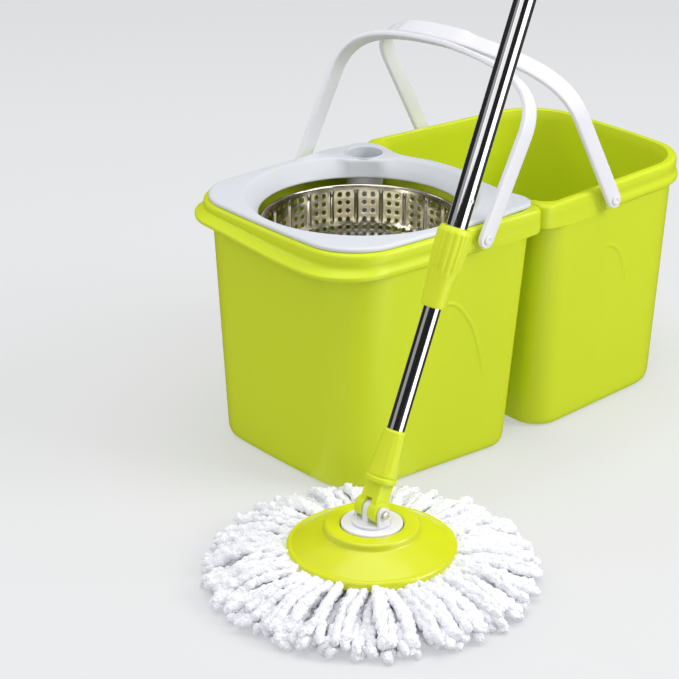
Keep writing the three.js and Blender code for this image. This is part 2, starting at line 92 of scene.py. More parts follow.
def linkObject(name, mesh, material=None):
    obj = bpy.data.objects.new(name, mesh)
    scene.collection.objects.link(obj)
    if material:
        mesh.materials.append(material)
    return obj


def plainMaterial(name, colour, roughness, emission=0.0):
    mat = bpy.data.materials.new(name)
    mat.use_nodes = True
    shader = mat.node_tree.nodes["Principled BSDF"]
    shader.inputs["Base Color"].default_value = (*colour, 1)
    shader.inputs["Roughness"].default_value = roughness
    shader.inputs["Emission Color"].default_value = (*colour, 1)
    shader.inputs["Emission Strength"].default_value = emission
    return mat


# The floor glows a little, so it stays an even pale grey.
stagePlan = {"floorHalf": 14, "floorColour": (0.35, 0.351, 0.356), "floorGlow": 1.14,
             "skyColour": (0.93, 0.94, 0.96, 1), "skyStrength": 0.52}


def makeStage():
    floor = bpy.data.meshes.new("floor")
    r = stagePlan["floorHalf"]
    floor.from_pydata([(-r, -r, 0), (r, -r, 0), (r, r, 0), (-r, r, 0)], [], [(0, 1, 2, 3)])
    floorGrey = plainMaterial("floorGrey", stagePlan["floorColour"], 1.0, stagePlan["floorGlow"])
    floorGrey.node_tree.nodes["Principled BSDF"].inputs["Specular IOR Level"].default_value = 0
    floorObj = linkObject("floor", floor, floorGrey)
    world = bpy.data.worlds.new("studio")
    scene.world = world
    world.use_nodes = True
    sky = world.node_tree.nodes["Background"]
    sky.inputs["Color"].default_value = stagePlan["skyColour"]
    sky.inputs["Strength"].default_value = stagePlan["skyStrength"]
    makeReflectors()


# Glossy-only cards in a bowl about the pole, so the tubes show dark and bright bands.
reflectorPlan = {
    "centre": (-0.19, -0.247), "inner": 0.21, "outer": 2.6, "height": 2.6, "start": -130.3,
    "low": 0.003, "flare": 0.3, "step": 6,
    # from and to in degrees, grey, glow
    "sectors": [(-180, -84, 0.012, 0.0), (-84, -46, 0.35, 0.12), (-46, 38, 0.008, 0.0), (38, 84, 1.0, 1.25),
                (84, 180, 0.012, 0.0)],
}


def makeReflectors():
    plan = reflectorPlan
    (cx, cy), low = plan["centre"], plan["low"]
    rows = ((plan["inner"], low), (plan["outer"], low), (plan["outer"] + plan["flare"], plan["height"]))
    for number, (start, end, grey, glow) in enumerate(plan["sectors"]):
        name, verts, faces = f"reflector{number}", [], []
        steps = max(int((end - start) / plan["step"]), 2)
        for k in range(steps + 1):
            a = math.radians(plan["start"] + start + (end - start) * k / steps)
            for r, z in rows:
                verts.append((cx + r * math.cos(a), cy + r * math.sin(a), z))
        for k in range(steps):
            for m in range(2):
                a = k * 3 + m
                faces.append((a, a + 3, a + 4, a + 1))
        mesh = bpy.data.meshes.new(name)
        mesh.from_pydata(verts, [], faces)
        card = linkObject(name, mesh, plainMaterial(name, (grey,) * 3, 0.9, glow))
        card.visible_camera = card.visible_diffuse = card.visible_shadow = card.visible_transmission = False


lightPlan = [
    # name, place, aim, width, height, watts
    ("keyLight", (1.6, -2.2, 1.9), (0.05, 0, 0.15), 1.6, 1.6, 54),
    ("fillLight", (-2.2, -0.9, 1.6), (0, 0, 0.15), 1.8, 1.8, 12),
    ("topLight", (0.0, -0.2, 3.0), (0, 0, 0.1), 2.6, 2.6, 42),
    ("backLight", (-1.2, 2.4, 1.8), (0, 0, 0.2), 1.6, 1.2, 15),
]


def makeLights():
    for name, place, aim, width, height, watts in lightPlan:
        data = bpy.data.lights.new(name, "AREA")
        data.shape = "RECTANGLE"
        data.size, data.size_y = width, height
        data.energy = watts
        lamp = bpy.data.objects.new(name, data)
        scene.collection.objects.link(lamp)
        lamp.location = place
        lamp.rotation_mode = "QUATERNION"
        lamp.rotation_quaternion = (Vector(aim) - Vector(place)).to_track_quat("-Z", "Y")


scene.view_settings.view_transform = "Standard"
makeCamera(cameraPlan)
makeStage()
makeLights()
print("stage ready")


# Skins: shader groups shared by the materials.
socketKinds = {"Colour": "NodeSocketColor", "Deep Colour": "NodeSocketColor",
               "Hollow Shade Colour": "NodeSocketColor", "Lines": "NodeSocketVector"}


def addNode(tree, kind, inputs=None, out=0, **settings):
    # Inputs are plain values or sockets to link from; one output comes back.
    node = tree.nodes.new(kind)
    for key, value in settings.items():
        setattr(node, key, value)
    for key, value in (inputs or {}).items():
        if isinstance(value, bpy.types.NodeSocket):
            tree.links.new(value, node.inputs[key])
        else:
            node.inputs[key].default_value = value
    return node.outputs[out] if node.outputs else None


def mixColours(tree, fac, a, b):
    return addNode(tree, "ShaderNodeMix", {0: fac, 6: a, 7: b}, 2, data_type="RGBA")


def mathNode(tree, operation, *values):
    return addNode(tree, "ShaderNodeMath", dict(enumerate(values)), operation=operation)


def noiseNode(tree, vector, scale, detail=3.0, roughness=0.55):
    values = {"Vector": vector, "Scale": scale, "Detail": detail, "Roughness": roughness}
    return addNode(tree, "ShaderNodeTexNoise", values, "Fac")


def startSkin(name, labels):
    # The group, its inputs, the object's own coordinates and a maker of sums.
    group = bpy.data.node_groups.new(name, "ShaderNodeTree")
    for direction, names in (("INPUT", labels), ("OUTPUT", ["Colour", "Roughness", "Height"])):
        for label in names:
            kind = socketKinds.get(label, "NodeSocketFloat")
            group.interface.new_socket(label, in_out=direction, socket_type=kind)
    coords = addNode(group, "ShaderNodeTexCoord", out="Object")
    return group, group.nodes.new("NodeGroupInput").outputs, coords, partial(mathNode, group)


def endSkin(group, colour, rough, height):
    addNode(group, "NodeGroupOutput", {"Colour": colour, "Roughness": rough, "Height": height})
    return group


def buildMouldedPlastic():
    # Injection-moulded skin: cloudy pigment, fine pebble and faint scuffs.
    labels = ["Colour", "Deep Colour", "Roughness", "Pebble", "Pebble Height"]
    group, given, coords, sums = startSkin("mouldedPlastic", labels)
    cloud = noiseNode(group, coords, 9.0, 4.0)
    pebble = noiseNode(group, coords, given["Pebble"], 2.0)
    wave = noiseNode(group, coords, 34.0, 2.0)
    scuffs = noiseNode(group, coords, 160.0, 6.0, 0.7)
    blotch = sums("MULTIPLY", sums("SUBTRACT", cloud, 0.3), 0.55)
    colour = mixColours(group, blotch, given["Colour"], given["Deep Colour"])
    rough = sums("ADD", given["Roughness"], sums("MULTIPLY", sums("SUBTRACT", scuffs, 0.5), 0.10))
    height = sums("ADD", sums("MULTIPLY", pebble, given["Pebble Height"]), sums("MULTIPLY", wave, 0.9))
    return endSkin(group, colour, rough, height)


def buildMetalSkin():
    # Rolled or drawn metal: fine lines along one direction and soft smudges.
    labels = ["Colour", "Roughness", "Lines", "Line Strength"]
    group, given, coords, sums = startSkin("metalSkin", labels)
    stretched = addNode(group, "ShaderNodeVectorMath", {0: coords, 1: given["Lines"]}, operation="MULTIPLY")
    lines = noiseNode(group, stretched, 1.0, 2.0)
    smudge = noiseNode(group, coords, 40.0, 5.0, 0.6)
    colour = mixColours(group, sums("MULTIPLY", smudge, 0.22), given["Colour"], (0.42, 0.42, 0.43, 1))
    lined = sums("MULTIPLY", sums("SUBTRACT", lines, 0.5), given["Line Strength"])
    smudged = sums("MULTIPLY", sums("SUBTRACT", smudge, 0.5), 0.08)
    rough = sums("ADD", given["Roughness"], sums("ADD", lined, smudged))
    return endSkin(group, colour, rough, lines)


def buildYarnPile():
    # Microfibre loops: bright tips, painted shade in the hollows between the loops and fine fuzz.
    group, given, coords, sums = startSkin("yarnPile", ["Colour", "Hollow Shade Colour", "Loop Scale"])
    cells = addNode(group, "ShaderNodeTexVoronoi", {
        "Vector": coords, "Scale": given["Loop Scale"]}, "Distance")
    fuzz = noiseNode(group, coords, 1800.0, 3.0, 0.7)
    # Painted shade: the colour darkens towards the hollow shade colour away from the middle of each loop
    # cell.
    colour = mixColours(group, sums("MULTIPLY", cells, 0.75), given["Colour"], given["Hollow Shade Colour"])
    height = sums("ADD", sums("SUBTRACT", 1.0, cells), sums("MULTIPLY", fuzz, 0.35))
    return endSkin(group, colour, sums("ADD", 0.82, sums("MULTIPLY", fuzz, 0.15)), height)


mouldedPlastic = buildMouldedPlastic()
metalSkin = buildMetalSkin()
yarnPile = buildYarnPile()


def groupMaterial(name, group, values, bumpDistance, bumpStrength, fixed):
    mat = bpy.data.materials.new(name)
    mat.use_nodes = True
    tree = mat.node_tree
    skin = tree.nodes.new("ShaderNodeGroup")
    skin.node_tree = group
    for label, value in values.items():
        skin.inputs[label].default_value = value
    bump = addNode(tree, "ShaderNodeBump", {
        "Distance": bumpDistance, "Strength": bumpStrength, "Height": skin.outputs["Height"]})
    shader = tree.nodes["Principled BSDF"]
    for label, socket in (("Base Color", skin.outputs["Colour"]), ("Roughness", skin.outputs["Roughness"]),
                          ("Normal", bump)):
        tree.links.new(socket, shader.inputs[label])
    for label, value in fixed.items():
        shader.inputs[label].default_value = value
    return mat


def plastic(name, colour, deep, roughness, pebble=900.0, pebbleHeight=0.2, bump=0.00006, specular=0.5):
    return groupMaterial(name, mouldedPlastic, {
        "Colour": (*colour, 1), "Deep Colour": (*deep, 1), "Roughness": roughness,
        "Pebble": pebble, "Pebble Height": pebbleHeight,
    }, bump, 0.6, {"Specular IOR Level": specular})


def metal(name, colour, roughness, lines, strength, bump=0.00001):
    return groupMaterial(name, metalSkin, {
        "Colour": (*colour, 1), "Roughness": roughness, "Lines": lines, "Line Strength": strength,
    }, bump, 0.35, {"Metallic": 1.0})


limeShell = plastic("limeShell", (0.615, 0.716, 0.018), (0.555, 0.66, 0.013), 0.36, specular=0.34)
limeFittings = plastic("limeFittings", (0.65, 0.74, 0.016), (0.57, 0.665, 0.011), 0.40, 1400.0, 0.35,
                       specular=0.4)
limeGloss = plastic("limeGloss", (0.625, 0.67, 0.014), (0.58, 0.625, 0.011), 0.24, 700.0, 0.1)
whitePlastic = plastic("whitePlastic", (0.78, 0.775, 0.82), (0.74, 0.735, 0.78), 0.38, specular=0.4)
guardPlastic = plastic("guardPlastic", (0.65, 0.672, 0.71), (0.60, 0.625, 0.665), 0.40, specular=0.4)
nylon = plastic("nylon", (0.72, 0.73, 0.73), (0.62, 0.63, 0.63), 0.5, 1600.0, 0.4)
gripPlastic = plastic("gripPlastic", (0.52, 0.65, 0.03), (0.42, 0.55, 0.02), 0.62, 2200.0, 0.9, 0.00012)
basketSteel = metal("basketSteel", (0.71, 0.67, 0.57), 0.11, (60.0, 60.0, 700.0), 0.10)
tubeSteel = metal("tubeSteel", (0.74, 0.74, 0.76), 0.07, (900.0, 900.0, 16.0), 0.04)
boltSteel = metal("boltSteel", (0.6, 0.6, 0.62), 0.28, (500.0, 500.0, 500.0), 0.12)
# The yarn's hollow colour is painted shade for the hollows between the loops.
yarnCotton = groupMaterial("yarnCotton", yarnPile, {
    "Colour": (0.95, 0.95, 0.985, 1), "Hollow Shade Colour": (0.90, 0.90, 0.965, 1), "Loop Scale": 420.0,
}, 0.0011, 1.0, {"Sheen Weight": 0.35, "Sheen Roughness": 0.5})
print("materials ready")


# Small tools for making meshes.
def shadeSoft(mesh, sharp):
    # Smooth shading, with edges sharper than this many degrees kept crisp.
    mesh.shade_smooth()
    mesh.set_sharp_from_angle(angle=math.radians(sharp))


def smoothMesh(name, verts, faces, material, sharp=32):
    mesh = bpy.data.meshes.new(name)
    mesh.from_pydata([tuple(v) for v in verts], [], faces)
    mesh.validate()
    shadeSoft(mesh, sharp)
    return linkObject(name, mesh, material)


def joinRings(rings, closed=False):
    # Quads between rings of equal length; open ends are fanned shut.
    n = len(rings[0])
    verts = [tuple(p) for ring in rings for p in ring]
    faces = []
    count = len(rings)
    for k in range(count if closed else count - 1):
        a0, b0 = k * n, ((k + 1) % count) * n
        for i in range(n):
            j = (i + 1) % n
            faces.append((a0 + i, a0 + j, b0 + j, b0 + i))
    if not closed:
        for k, flip in ((0, True), (count - 1, False)):
            mid = len(verts)
            verts.append(tuple(np.mean(rings[k], axis=0)))
            for i in range(n):
                j = (i + 1) % n
                a, b = k * n + i, k * n + j
                faces.append((b, a, mid) if flip else (a, b, mid))
    return verts, faces


@contextmanager
def editing(mesh, weld):
    # Opens a mesh for changes, with points closer than the weld distance merged.
    bm = bmesh.new()
    bm.from_mesh(mesh)
    bmesh.ops.remove_doubles(bm, verts=bm.verts, dist=weld)
    yield bm
    bm.to_mesh(mesh)
    bm.free()


def faceOut(obj):
    with editing(obj.data, 1e-6) as bm:
        bmesh.ops.recalc_face_normals(bm, faces=bm.faces)
        if bm.calc_volume(signed=True) < 0:
            bmesh.ops.reverse_faces(bm, faces=bm.faces)
    return obj


def quadCurve(a, b, c, steps=14):
    # Points of a smooth curve from a to c that leaves towards b.
    a, b, c = (np.array(p, float) for p in (a, b, c))
    return [a * (1 - t) ** 2 + b * 2 * t * (1 - t) + c * t * t for t in np.linspace(0, 1, steps + 1)]


def roundCorners(points, closed=True, steps=5):
    # points are (vector..., radius); each corner with a radius becomes a smooth bend.
    out = []
    n = len(points)
    for i, point in enumerate(points):
        here, radius = np.array(point[:-1], float), point[-1]
        inner = closed or 0 < i < n - 1
        if radius <= 0 or not inner:
            out.append(here)
            continue
        before = np.array(points[i - 1][:-1], float)
        after = np.array(points[(i + 1) % n][:-1], float)
        toBefore, toAfter = before - here, after - here
        lb, la = np.linalg.norm(toBefore), np.linalg.norm(toAfter)
        start = here + toBefore * min(radius / max(lb, 1e-9), 0.49)
        end = here + toAfter * min(radius / max(la, 1e-9), 0.49)
        out += quadCurve(start, here, end, steps)
    return out


def lathe(name, profile, material, place=Matrix.Identity(4), segments=96, closed=True, steps=4, shape=None):
    # profile is (radius, height, corner radius) in millimetres about the local Z axis.
    line = roundCorners(profile, closed, steps)
    rings = []
    for r, z in line:
        ring = []
        for k in range(segments):
            a = 2 * math.pi * k / segments
            rr = shape(r, z, a) if shape else r
            ring.append((rr * math.cos(a) * mm, rr * math.sin(a) * mm, z * mm))
        rings.append(ring)
    verts, faces = joinRings(rings, closed)
    obj = smoothMesh(name, [place @ Vector(v) for v in verts], faces, material)
    return faceOut(obj)


def cleanUp(obj, slot, body, *replaced):
    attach(obj, body)
    if replaced:
        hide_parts(*replaced)
    return obj


def joinObjects(objs, name):
    for o in bpy.context.selected_objects:
        o.select_set(False)
    for o in objs:
        o.select_set(True)
    bpy.context.view_layer.objects.active = objs[0]
    bpy.ops.object.join()
    objs[0].name = name
    objs[0].data.name = name
    return objs[0]


def applyModifiers(obj):
    depsgraph = bpy.context.evaluated_depsgraph_get()
    mesh = bpy.data.meshes.new_from_object(obj.evaluated_get(depsgraph))
    obj.modifiers.clear()
    old = obj.data
    obj.data = mesh
    bpy.data.meshes.remove(old)
    return obj


def cutWith(obj, cutter):
    mod = obj.modifiers.new("cut", "BOOLEAN")
    mod.operation = "DIFFERENCE"
    mod.solver = "EXACT"
    mod.object = cutter
    applyModifiers(obj)
    bpy.data.objects.remove(cutter)
    shadeSoft(obj.data, 32)
    return obj


# Both buckets, in millimetres from the basket's axis.
rimZ = 263.0
shared = {"wall": 2.6, "floor": 4.0, "sideInset": 3.2, "sideFoot": 20.6, "endDraft": 7.0, "overhang": 133.0,
          "dip": 18.0, "dipAlong": (20, 40), "dipAcross": (72, 118), "climbAlong": (-120, -60),
          "climbAcross": (-70, 90), "ringGap": 12}
spinShape = {"seamX": 123.0, "endX": -141.0, "seamHalf": 143.5, "endHalf": 133.0, "endR": 58.0,
             "bulge": 4.0, "endInset": 22.5, "lip": 12.0, "climb": 7.0, "flush": (20.0, 46.0)}
washShape = {"seamX": 123.6, "endX": 371.0, "seamHalf": 143.5, "endHalf": 126.0, "endR": 58.0,
             "bulge": 8.0, "endInset": 9.5, "lip": 3.0, "climb": 0.0, "flush": (236.0, 212.0)}


def smoothStep(x, a, b):
    t = np.clip((np.asarray(x, float) - a) / (b - a), 0, 1)
    return t * t * (3 - 2 * t)


def between(x, rise, fall):
    # One inside, zero outside, with smooth edges.
    return smoothStep(x, *rise) * (1 - smoothStep(x, *fall))


def filletArc(a, v, c, r, steps):
    a, v, c = (np.array(p, float) for p in (a, v, c))
    va, vc = (a - v) / np.linalg.norm(a - v), (c - v) / np.linalg.norm(c - v)
    half = math.acos(np.clip(va @ vc, -1, 1)) / 2
    cut = r / math.tan(half)
    mid = (va + vc) / np.linalg.norm(va + vc)
    centre = v + mid * r / math.sin(half)
    s, e = v + va * cut - centre, v + vc * cut - centre
    t0, t1 = math.atan2(s[1], s[0]), math.atan2(e[1], e[0])
    sweep = (t1 - t0 + math.pi) % (2 * math.pi) - math.pi
    return [centre + r * np.array([math.cos(t0 + sweep * i / steps), math.sin(t0 + sweep * i / steps)])
            for i in range(steps + 1)]


def spread(a, b, count):
    return [np.array(a, float) + (np.array(b, float) - np.array(a, float)) * i / count for i in range(count)]


def planOutline(b, side, end, seamInset, seamR):
    # Half outline from the middle of the shared side round to the end, then mirrored.
    d = math.copysign(1, b["endX"] - b["seamX"])
    xs, xe = b["seamX"] + d * seamInset, b["endX"] - d * end
    ws, we = b["seamHalf"] - side, b["endHalf"] - side
    endR = max(b["endR"] - side * 0.5, 20)
    corner = filletArc((xs, 0), (xs, ws), (xe, we), seamR, 12)
    far = filletArc((xs, ws), (xe, we), (xe, 0), endR, 24)
    half = spread((xs, 0), corner[0], 30) + corner[:-1] + spread(corner[-1], far[0], 44) + far[:-1]
    half += spread(far[-1], (xe, 0), 14) + [np.array((xe, 0.0))]
    pts = np.array(half)
    along = np.clip((pts[:, 0] - xs) / (xe - xs), 0, 1)
    pts[:, 0] += d * b["bulge"] * along ** 4 * (1 - (pts[:, 1] / we) ** 2)
    if d > 0:
        # The wash bucket's shared wall curves round the splash guard's overhang.
        near = (np.abs(pts[:, 1]) < shared["overhang"] / 2) & (pts[:, 0] < b["seamX"] + 60)
        arc = np.sqrt(np.maximum((shared["overhang"] + 1) ** 2 - pts[:, 1] ** 2, 0)) + seamInset
        pts[:, 0] = np.where(near, np.maximum(pts[:, 0], arc), pts[:, 0])
    mirror = pts[1:-1][::-1] * np.array([1, -1])
    return np.vstack([pts, mirror])


def bucketLevels(b):
    s, w = shared["sideInset"], shared["wall"]
    foot, end = shared["sideFoot"], b["endInset"]
    endFoot, lip, z = end + shared["endDraft"], b["lip"], rimZ
    # side inset, flush side inset, end inset, shared-side inset, corner radius there, height, dips, bend
    return [
        (foot + 16, foot + 16, endFoot + 16, 33, 24, 0, 0, 0),
        (foot, foot, endFoot, 17, 28, 0, 0, 11),
        (s + 0.4, 2.0, end + 0.3, 9, 26, z - 34, 0, 6),
        (s, 1.0, end, 9, 26, z - 27, 0, 1.5),
        (0.6, 0.8, 1.2, 0.6, 12, z - 25.4, 1, 1.5),
        (0, 0.8, 0, 0, 12, z - 21, 1, 2.5),
        (2.2, 0.9, lip + 0.6, 0, 12, z - 15, 1, 6),
        (0.8, 0.6, lip - 0.6, 0, 12, z - 8, 1, 6),
        (1.4, 1.4, lip, 0.4, 11, z, 1, 7.5),
        (9.4, 9.4, end + 1.2, 7.6, 20, z, 1, 1.2),
        (10.6, 10.6, end + w + 0.6, 10.4, 22, z - 9, 1, 4),
        (11.2, 11.2, end + w + 1.2, 11.6, 23, z - 34, 0, 4),
        (foot + w, foot + w, endFoot + w, 17 + w, 25, shared["floor"], 0, 12),
        (foot + w + 16, foot + w + 16, endFoot + w + 16, 17 + w + 16, 22, shared["floor"], 0, 0),
    ]


def roundRings(rings, radii, steps=5):
    # Rings are (points, 3) arrays; each bend is a smooth curve between its neighbours.
    out = []
    for i, ring in enumerate(rings):
        r = radii[i]
        if r <= 0 or i in (0, len(rings) - 1):
            out.append(ring)
            continue
        toBefore, toAfter = rings[i - 1] - ring, rings[i + 1] - ring
        lb = np.linalg.norm(toBefore, axis=1, keepdims=True)
        la = np.linalg.norm(toAfter, axis=1, keepdims=True)
        start = ring + toBefore * np.minimum(r / np.maximum(lb, 1e-6), 0.48)
        end = ring + toAfter * np.minimum(r / np.maximum(la, 1e-6), 0.48)
        out += quadCurve(start, ring, end, steps)
    return out


def bucketShell(name, b):
    rings, radii = [], []
    for side, flushSide, end, seamInset, seamR, z, dips, bend in bucketLevels(b):
        creased = planOutline(b, side, end, seamInset, seamR)
        flush = planOutline(b, flushSide, end, seamInset, seamR)
        k = smoothStep(creased[:, 0], *b["flush"])[:, None]
        plan = creased * (1 - k) + flush * k
        nearSeam = 1 - smoothStep(np.abs(plan[:, 0] - b["seamX"]), *shared["dipAlong"])
        between = 1 - smoothStep(np.abs(plan[:, 1]), *shared["dipAcross"])
        height = z - dips * shared["dip"] * nearSeam * between
        # The flared lip climbs towards the far corner of the free end.
        climb = smoothStep(plan[:, 1], *shared["climbAcross"])
        climb = climb * (1 - smoothStep(plan[:, 0], *shared["climbAlong"]))
        height = height + climb * b["climb"] * (rimZ - 30 < z < rimZ - 12)
        rings.append(np.column_stack([plan, height]))
        radii.append(bend)
    rings = roundRings(rings, radii)
    dense = []
    for a, c in zip(rings, rings[1:]):
        parts = max(int(np.abs(a - c).max() // shared["ringGap"]), 1)
        dense += [a + (c - a) * i / parts for i in range(parts)]
    dense.append(rings[-1])
    verts, faces = joinRings([ring * mm for ring in dense])
    return faceOut(smoothMesh(name, verts, faces, limeShell, 50))


def boxMesh(name, low, high, material, bevel=0.0008):
    mesh = bpy.data.meshes.new(name)
    bm = bmesh.new()
    bmesh.ops.create_cube(bm, size=1)
    for v in bm.verts:
        v.co = Vector([(low[i] + high[i]) / 2 + v.co[i] * (high[i] - low[i]) for i in range(3)])
    bmesh.ops.bevel(bm, geom=bm.edges[:], offset=bevel, segments=3, affect="EDGES")
    bm.to_mesh(mesh)
    bm.free()
    shadeSoft(mesh, 40)
    return linkObject(name, mesh, material)


hookPlan = {"x": 126.5, "y": 80.0, "z": 165.0, "half": 6.0}


def hookBoxes(prefix, boxes):
    made = []
    for side in (-1, 1):
        for i, (x0, x1, y0, y1, z0, z1) in enumerate(boxes):
            x, y, z = hookPlan["x"], hookPlan["y"] * side, hookPlan["z"]
            low = [(x + x0) * mm, (y + y0) * mm, (z + z0) * mm]
            high = [(x + x1) * mm, (y + y1) * mm, (z + z1) * mm]
            made.append(boxMesh(f"{prefix}{side}{i}", low, high, limeShell))
    return made


def softenLine(points, rounds=3):
    line = np.array(points, float)
    for _ in range(rounds):
        quarter, threeQuarter = line[:-1] * 0.75 + line[1:] * 0.25, line[:-1] * 0.25 + line[1:] * 0.75
        line = np.vstack([line[:1], np.stack([quarter, threeQuarter], 1).reshape(-1, 2), line[-1:]])
    return line


def raisedLine(name, shell, points, width, height):
    # A soft moulded ridge along (x, z) points, on both long faces of a bucket.
    mesh, count = shell.data, 11
    skin = BVHTree.FromPolygons([v.co for v in mesh.vertices], [p.vertices[:] for p in mesh.polygons])
    line = softenLine(points)
    last, across = len(line) - 1, np.linspace(-1, 1, count)
    verts, faces = [], []
    for side in (-1, 1):
        base = len(verts)
        for k, point in enumerate(line):
            along = line[min(k + 1, last)] - line[max(k - 1, 0)]
            along /= np.linalg.norm(along)
            fade = min(1, 4 * k / last, 4 * (last - k) / last)
            for a in across:
                x, z = (point + np.array((-along[1], along[0])) * a * width / 2) * mm
                place, normal, _, _ = skin.ray_cast(Vector((x, side * 0.4, z)), Vector((0, -side, 0)))
                rise = height * fade * (math.cos(a * math.pi) + 1) / 2 - 0.03
                verts.append(place + normal * rise * mm)
        for k in range(last):
            for i in range(count - 1):
                a = base + k * count + i
                ring = (a, a + 1, a + count + 1, a + count)
                faces.append(ring if side < 0 else ring[::-1])
    return smoothMesh(name, verts, faces, limeShell, 60)


# The embossed arch as (x, z), and the pocket round a handle's foot.
markPlan = {
    "spinArch": [(-20, 190), (-8, 188), (5, 187), (16, 180), (31, 161), (40, 141), (45, 126), (52, 105),
                 (54, 92)],
    "washArch": [(226, 193), (238, 192), (251, 182), (259, 167), (262, 157), (265, 140)],
    "archWidth": 7.0, "archHeight": 0.9,
    "footZ": 251, "pocketR": 12.6, "pocketWidth": 4.4, "pocketHeight": 0.7,
}


def footPocket(x):
    z, r = markPlan["footZ"], markPlan["pocketR"]
    turns = np.radians(np.linspace(150, 360, 13))
    return [(x + r * math.cos(t), z + r * math.sin(t)) for t in turns] + [(x + r, z + 5), (x + r, z + 9)]


half = hookPlan["half"]
loops = [(-17, -2.7, -half - 3, half + 3, 0, 14), (2, 4, -half - 3, half + 3, 0, 14),
         (-3, 2.4, -half - 3, -half - 0.9, 0, 14), (-3, 2.4, half + 0.9, half + 3, 0, 14)]
tongues = [(-1.8, 1.2, -half, half, -6, 24), (0, 9.5, -half, half, 16, 24)]
for kind, shape, footX, hookName, boxes in (("spin", spinShape, 37, "loop", loops),
                                            ("wash", washShape, 219, "tongue", tongues)):
    name, m = kind + "BucketShell", markPlan
    shell = bucketShell(name, shape)
    marks = [raisedLine(kind + "Arch", shell, m[kind + "Arch"], m["archWidth"], m["archHeight"]),
             raisedLine(kind + "Pocket", shell, footPocket(footX), m["pocketWidth"], m["pocketHeight"])]
    shell = joinObjects([shell] + hookBoxes(hookName, boxes) + marks, name)
    cleanUp(shell, "lime_shell", kind + "_bucket_set", kind + "_bucket")
print("buckets ready")


# Splash guard: deck, funnel and pour port.
guardPlan = {"deck": 268.0, "side": 6.0, "end": 15.5, "mouth": 119.0, "opening": 106.0, "count": 720,
             "port": (88.0, 97.0), "portR": 19.0, "portFoot": 14.0, "portWall": 1.6, "portLow": 150.0}


def guardOutline():
    g, seam = guardPlan, spinShape["seamX"]
    tip = spinShape["seamHalf"] - g["side"] - 9
    rim = planOutline(spinShape, g["side"], g["end"], g["side"], 14)
    sides = rim[rim[:, 0] < 70]
    far, near = sides[sides[:, 1] >= 0], sides[sides[:, 1] < 0]
    line = list(far) + list(near) + [np.array((seam - 14, -tip - 4))]
    line += quadCurve(line[-1], (seam + 2, -tip + 3), (seam + 0.1, -108))
    line += quadCurve(line[-1], (seam - 4, -90), (seam - 1.5, -66))
    edge = shared["overhang"]
    open0 = math.asin(52 / edge)
    line += [np.array((edge * math.cos(t), edge * math.sin(t))) for t in np.linspace(-open0, open0, 40)]
    line += quadCurve(line[-1], (seam - 8, 70), (seam - 7, 84))
    line += quadCurve(line[-1], (seam - 3, 88), (g["port"][0] + 32, 106))
    line += quadCurve(line[-1], (seam, 122), (seam - 16, tip + 3))
    return np.array(line)


def radiusAt(line, angle):
    # Distance from the axis to the outline along one direction.
    d = np.array((math.cos(angle), math.sin(angle)))
    a, b = line, np.roll(line, -1, axis=0)
    e = b - a
    den = d[0] * e[:, 1] - d[1] * e[:, 0]
    ok = np.abs(den) > 1e-9
    safe = np.where(ok, den, 1)
    t = (a[:, 0] * e[:, 1] - a[:, 1] * e[:, 0]) / safe
    u = (a[:, 0] * d[1] - a[:, 1] * d[0]) / safe
    hit = ok & (t > 0) & (u >= -1e-6) & (u <= 1 + 1e-6)
    return t[hit].max()


def splashGuard():
    g, deck = guardPlan, guardPlan["deck"]
    line = guardOutline()
    angles = np.linspace(0, 2 * math.pi, g["count"], endpoint=False)
    outer = np.array([radiusAt(line, a) for a in angles])
    for _ in range(2):
        outer = (np.roll(outer, 1) + 2 * outer + np.roll(outer, -1)) / 4
    mouth, hole = g["mouth"], g["opening"]
    # fraction from a fixed radius to the outline, fixed radius, inset, height, bend
    profile = [
        (1, 0, 0.4, rimZ + 0.3, 0.6), (1, 0, 0.0, deck - 1.6, 1.4), (1, 0, 2.6, deck, 1.6),
        (0, mouth + 1, 0, deck + 0.2, 3.5), (0, hole + 4, 0, deck - 10.5, 5), (0, hole, 0, deck - 18.0, 1.6),
        (0, hole + 0.8, 0, deck - 19.5, 0.6), (0, hole + 3.4, 0, deck - 18.5, 1.0),
        (0, hole + 6, 0, deck - 13, 4), (0, mouth + 1, 0, rimZ + 0.3, 2),
    ]
    rings, bends = [], []
    portAngle = math.atan2(g["port"][1], g["port"][0])
    away = np.degrees(np.abs((angles - portAngle + math.pi) % (2 * math.pi) - math.pi))
    reachIn = 1 - smoothStep(away, 7.5, 17)
    for useOuter, radius, inset, z, bend in profile:
        r = outer - inset if useOuter else np.minimum(np.full_like(outer, radius), outer - 3)
        r = r - reachIn * {mouth + 1: 10.6, hole + 4: 2.6}.get(radius, 0)
        rings.append(np.column_stack([r * np.cos(angles), r * np.sin(angles), np.full_like(r, z)]))
        bends.append(bend)
    rings = roundRings([rings[-1]] + rings + [rings[0]], [0] + bends + [0], 5)[1:-1]
    verts, faces = joinRings([ring * mm for ring in rings], closed=True)
    body = faceOut(smoothMesh("splashGuardDeck", verts, faces, guardPlastic, 40))
    px, py = g["port"]
    place = Matrix.Translation((px * mm, py * mm, 0))
    cutR, cutLow, cutHigh = g["portR"] + 0.8, rimZ - 30, deck + 6
    cutter = lathe("portCutter", [(0, cutLow, 0), (cutR, cutLow, 0), (cutR, cutHigh, 0), (0, cutHigh, 0)],
                   guardPlastic, place, 64, False)
    cutWith(body, cutter)
    r, f, w, low = g["portR"], g["portFoot"], g["portWall"], g["portLow"]
    tube = lathe("pourTube", [
        (f, low, 0.5), (f + w, low, 0.5), (r + w, deck - 5, 1), (r + w + 0.4, deck - 1, 1.0),
        (r + w + 0.1, deck + 1.4, 0.8), (r, deck + 1.2, 0.8), (r - 0.2, deck - 6, 1),
    ], guardPlastic, place, 72)
    return joinObjects([body, tube], "splashGuardDeck")


cleanUp(splashGuard(), "guard_plastic", "guard", "splash_guard")
print("splash guard ready")


